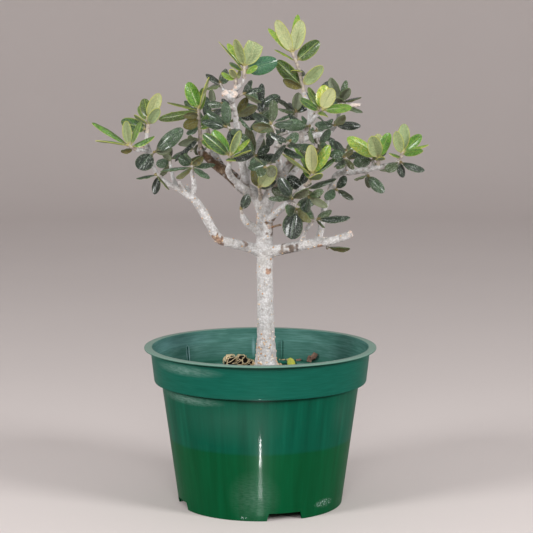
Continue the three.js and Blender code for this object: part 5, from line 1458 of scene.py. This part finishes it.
def growLeaf(model, leaf, kind, chance):
    # fits a copy of the blade to its place, then curls, twists, cups and waves it
    young = kind in kindShades
    look = leafLook["new" if young or kind == "w" else "old"]
    copy = copyOf(model, "leaf")
    u, v = vertexData(copy.data, "co")[:, :2].T
    length, width = leaf["length"], leaf["width"]
    stem, stemHalf = leafLook["petiole"], leafLook["petioleHalf"]
    bladeU = np.clip((u * (leafLook["squareEnd"] if kind == "c" else 1) - stem) / (1 - stem), 0, 1)
    half = look["broad"] * width / 2 * (4 * bladeU * (1 - bladeU)) ** look["fullness"]
    half = np.where(u <= stem, stemHalf, np.maximum(half, stemHalf * (u < 0.5)))
    bulge = 4 * u * (1 - u)
    arch = bulge * growth["arch"] * length
    roll = leafLook["roll"] * width * v * v * bulge * chance.uniform(*leafLook["anyRoll"])
    fold = look["fold"] * chance.uniform(*leafLook["anyFold"]) * width * np.abs(v) * bulge
    groove = leafLook["groove"] * np.exp(-(v / 0.25) ** 2) * np.clip(1.25 - u, 0, 1) * (u > 0.08)
    ripple = np.sin(u * chance.uniform(*leafLook["ripples"]) + v + chance.uniform(*leafLook["rippleStart"]))
    wave = look["wave"] * np.abs(v) ** 3 * ripple * bulge
    curl = look["curl"] * chance.uniform(*leafLook["anyCurl"]) * length * u ** 2.5
    twist = chance.uniform(-1, 1) * look["twist"] * u
    bend = chance.uniform(-1, 1) * look["bend"] * length * u * u
    sideways = v * half * np.cos(twist) + bend
    rise = arch - roll - fold - groove + wave - curl + v * half * np.sin(twist)
    places = (leaf["base"] + np.outer(u * length, leaf["along"]) + np.outer(sideways, leaf["across"])
              + np.outer(rise, leaf["normal"]))
    copy.data.vertices.foreach_set("co", (places * mm).ravel())
    # red: light or dark, green: yellowing, blue: how many pale dots of scales and painted glints
    if young:
        shade = kindShades[kind] + chance.uniform(*leafLook["youngShade"])
    else:
        # an o leaf takes a tone from the dark ends of the ramps, its under side painted as in shade
        shade = chance.uniform(*leafLook["paintedShadeTone" if kind == "o" else "darkShade"])
    yellowing, scales = max(0.0, chance.gauss(*leafLook["yellowing"])), chance.uniform(*leafLook["scales"])
    own = (shade, yellowing, scales, 1.0)
    paintVertices(copy.data, "leafTone", np.tile(own, (len(u), 1)))
    # which of leafMaterials the upper side wears
    slot = 6 if kind == "w" else 3 if young else 0
    copy.data.polygons.foreach_set("material_index", [slot] * len(copy.data.polygons))
    return copy


def thicken(piece):
    # the blade's under side and its margin wear the next two materials
    finishWith(piece, "SOLIDIFY", thickness=leafLook["thickness"] * mm, offset=-1, material_offset=1,
               material_offset_rim=2)


def makeTwig(shoot, age):
    start = (growth["spurLength"] - twigLook["overlap"]) / shoot["length"]
    line = []
    for k in range(4):
        radius = twigLook["radius"][age] - twigLook["taper"] * k / 3
        line.append((pointAt(shoot["path"], start + (1 - start) * k / 3), radius))
    twig = tubesThrough("twig", [line], sides=2)
    twig.data.materials.append(twigMaterials[age])
    return twig


def makeBud(path, age):
    bud = newShape(bpy.ops.mesh.primitive_ico_sphere_add, subdivisions=2, radius=1)
    for vertex in bud.data.vertices:
        if vertex.co.z > 0:
            vertex.co.x *= 1 - twigLook["budTaper"] * vertex.co.z
            vertex.co.y *= 1 - twigLook["budTaper"] * vertex.co.z
    heading = Vector(unit(path[-1] - path[-2])).to_track_quat("Z", "Y").to_matrix().to_4x4()
    bud.data.transform(Matrix.Translation(Vector(path[-1]) * mm) @ heading
                       @ Matrix.Diagonal((*[size * mm for size in twigLook["bud"]], 1)))
    bud.data.materials.append(budMaterials[age])
    return bud


def makeShoot(model, shoot):
    chance = random.Random(seeds["shoots"] + shoot["index"])
    age = shoot["age"]
    plainName = shoot["name"].replace(" ", "_")
    blades = []
    for leaf in shoot["leaves"]:
        kind = "d" if age == "old" else "g"
        if leaf["order"] is not None and age == "new":
            kind = leafKinds[shoot["name"]][leaf["order"]]
        blades.append(growLeaf(model, leaf, kind, chance))
    parts = []
    if blades:
        foliage = joinPieces("leaves_" + plainName, blades)
        thicken(foliage)
        parts.append(foliage)
    parts += [makeTwig(shoot, age), makeBud(shoot["path"], age)]
    piece = joinPieces("leaves_" + plainName, parts)
    smoothTo(piece, 50)
    standFor(piece, "shoot_" + plainName)


fallenLeaf = {"base": (24.5, 58, 85.4), "tip": (21.5, 65.5, 92), "faces": (0.0, -1.0, 0.0), "width": 5.6}


def makeFallenLeaf(model):
    base, tip, faces = [np.array(fallenLeaf[key]) for key in ("base", "tip", "faces")]
    leaf = makeLeaf(base, tip, faces, fallenLeaf["width"], 0)
    piece = growLeaf(model, leaf, "y", random.Random(seeds["fallen leaf"]))
    piece.name = "fallenLeaf"
    thicken(piece)
    smoothTo(piece, 50)
    standFor(piece, "fallen_leaf")


blade = bladeModel()
for shoot in plants:
    makeShoot(blade, shoot)
makeFallenLeaf(blade)
bpy.data.objects.remove(blade)
print("leaves grown")


# floor and light

studio = {
    # in metres
    "floorSides": 96, "floorRadius": 2.0, "sweep": 1.0, "sweepSteps": 10, "wallHeight": 2.4,
    "floorTones": ("#d2cac7", "#d6cecb"),
    "skyTone": "#efeef0",
    "skyStrength": 0.47,
    "lampAim": (0, 0, 0.2),
    # place in metres, size, power in watts
    "lights": [((-1.35, -1.0, 0.8), 0.6, 21), ((1.35, -1.0, 0.85), 0.6, 23), ((0.0, -1.35, 0.75), 0.6, 8)],
    # low strips in front of the pot, seen only as the narrow glint down its wall: place, length, width, power
    "glints": [(-0.154, 0.042, 0.0035, 0.19), (-0.108, 0.046, 0.006, 0.045), (-0.0735, 0.023, 0.006, 0.004)],
    "glintHeight": 0.002,
}


def makeFloor():
    # the floor sweeps up into a wall all round, so that no edge shows behind the tree
    floor = newShape(bpy.ops.mesh.primitive_circle_add, vertices=studio["floorSides"],
                     radius=studio["floorRadius"], fill_type="NGON")
    floor.name = "floor"
    section = []
    for step in range(studio["sweepSteps"] + 1):
        angle = math.pi / 2 * step / studio["sweepSteps"]
        section.append(((studio["floorRadius"] + studio["sweep"] * math.sin(angle)) / mm,
                        studio["sweep"] * (1 - math.cos(angle)) / mm))
    section.append((section[-1][0], studio["wallHeight"] / mm))
    openAll(floor, "EDGE")
    bpy.ops.mesh.region_to_loop()
    drawOut(section)
    bpy.ops.object.mode_set(mode="OBJECT")
    smoothTo(floor, 60)
    # matt paint, so faintly clouded that it reads as one pale tone
    paint, tree, surface = newMaterial("paintedFloor", {"Roughness": 0.9, "Specular IOR Level": 0.2})
    tone = mixed(tree, noiseAt(tree, objectPlace(tree), 3, 3), *studio["floorTones"])
    tree.links.new(tone, surface.inputs["Base Color"])
    floor.data.materials.append(paint)


makeFloor()

for place, size, power in studio["lights"]:
    bpy.ops.object.light_add(type="AREA", location=place)
    lamp = bpy.context.object
    lamp.data.shape = "DISK"
    lamp.data.size = size
    lamp.data.energy = power
    aim = Vector(studio["lampAim"]) - Vector(place)
    lamp.rotation_euler = aim.to_track_quat("-Z", "Y").to_euler()

for along, length, width, power in studio["glints"]:
    bpy.ops.object.light_add(type="AREA", location=(0, along, studio["glintHeight"]))
    glint = bpy.context.object
    glint.data.shape = "RECTANGLE"
    glint.data.size = width
    glint.data.size_y = length
    glint.data.energy = power
    glint.rotation_euler = (math.pi, 0, 0)
    glint.visible_diffuse = False
    glint.visible_camera = False
    glint.visible_transmission = False

world = bpy.data.worlds.new("studio")
bpy.context.scene.world = world
world.use_nodes = True
world.node_tree.nodes.clear()
sky = addNode(world.node_tree, "ShaderNodeBackground", {
    "Color": studio["skyTone"], "Strength": studio["skyStrength"]})
addNode(world.node_tree, "ShaderNodeOutputWorld", {"Surface": sky.outputs[0]})
bpy.context.scene.view_settings.view_transform = "Standard"
print("studio lit")

putDown()
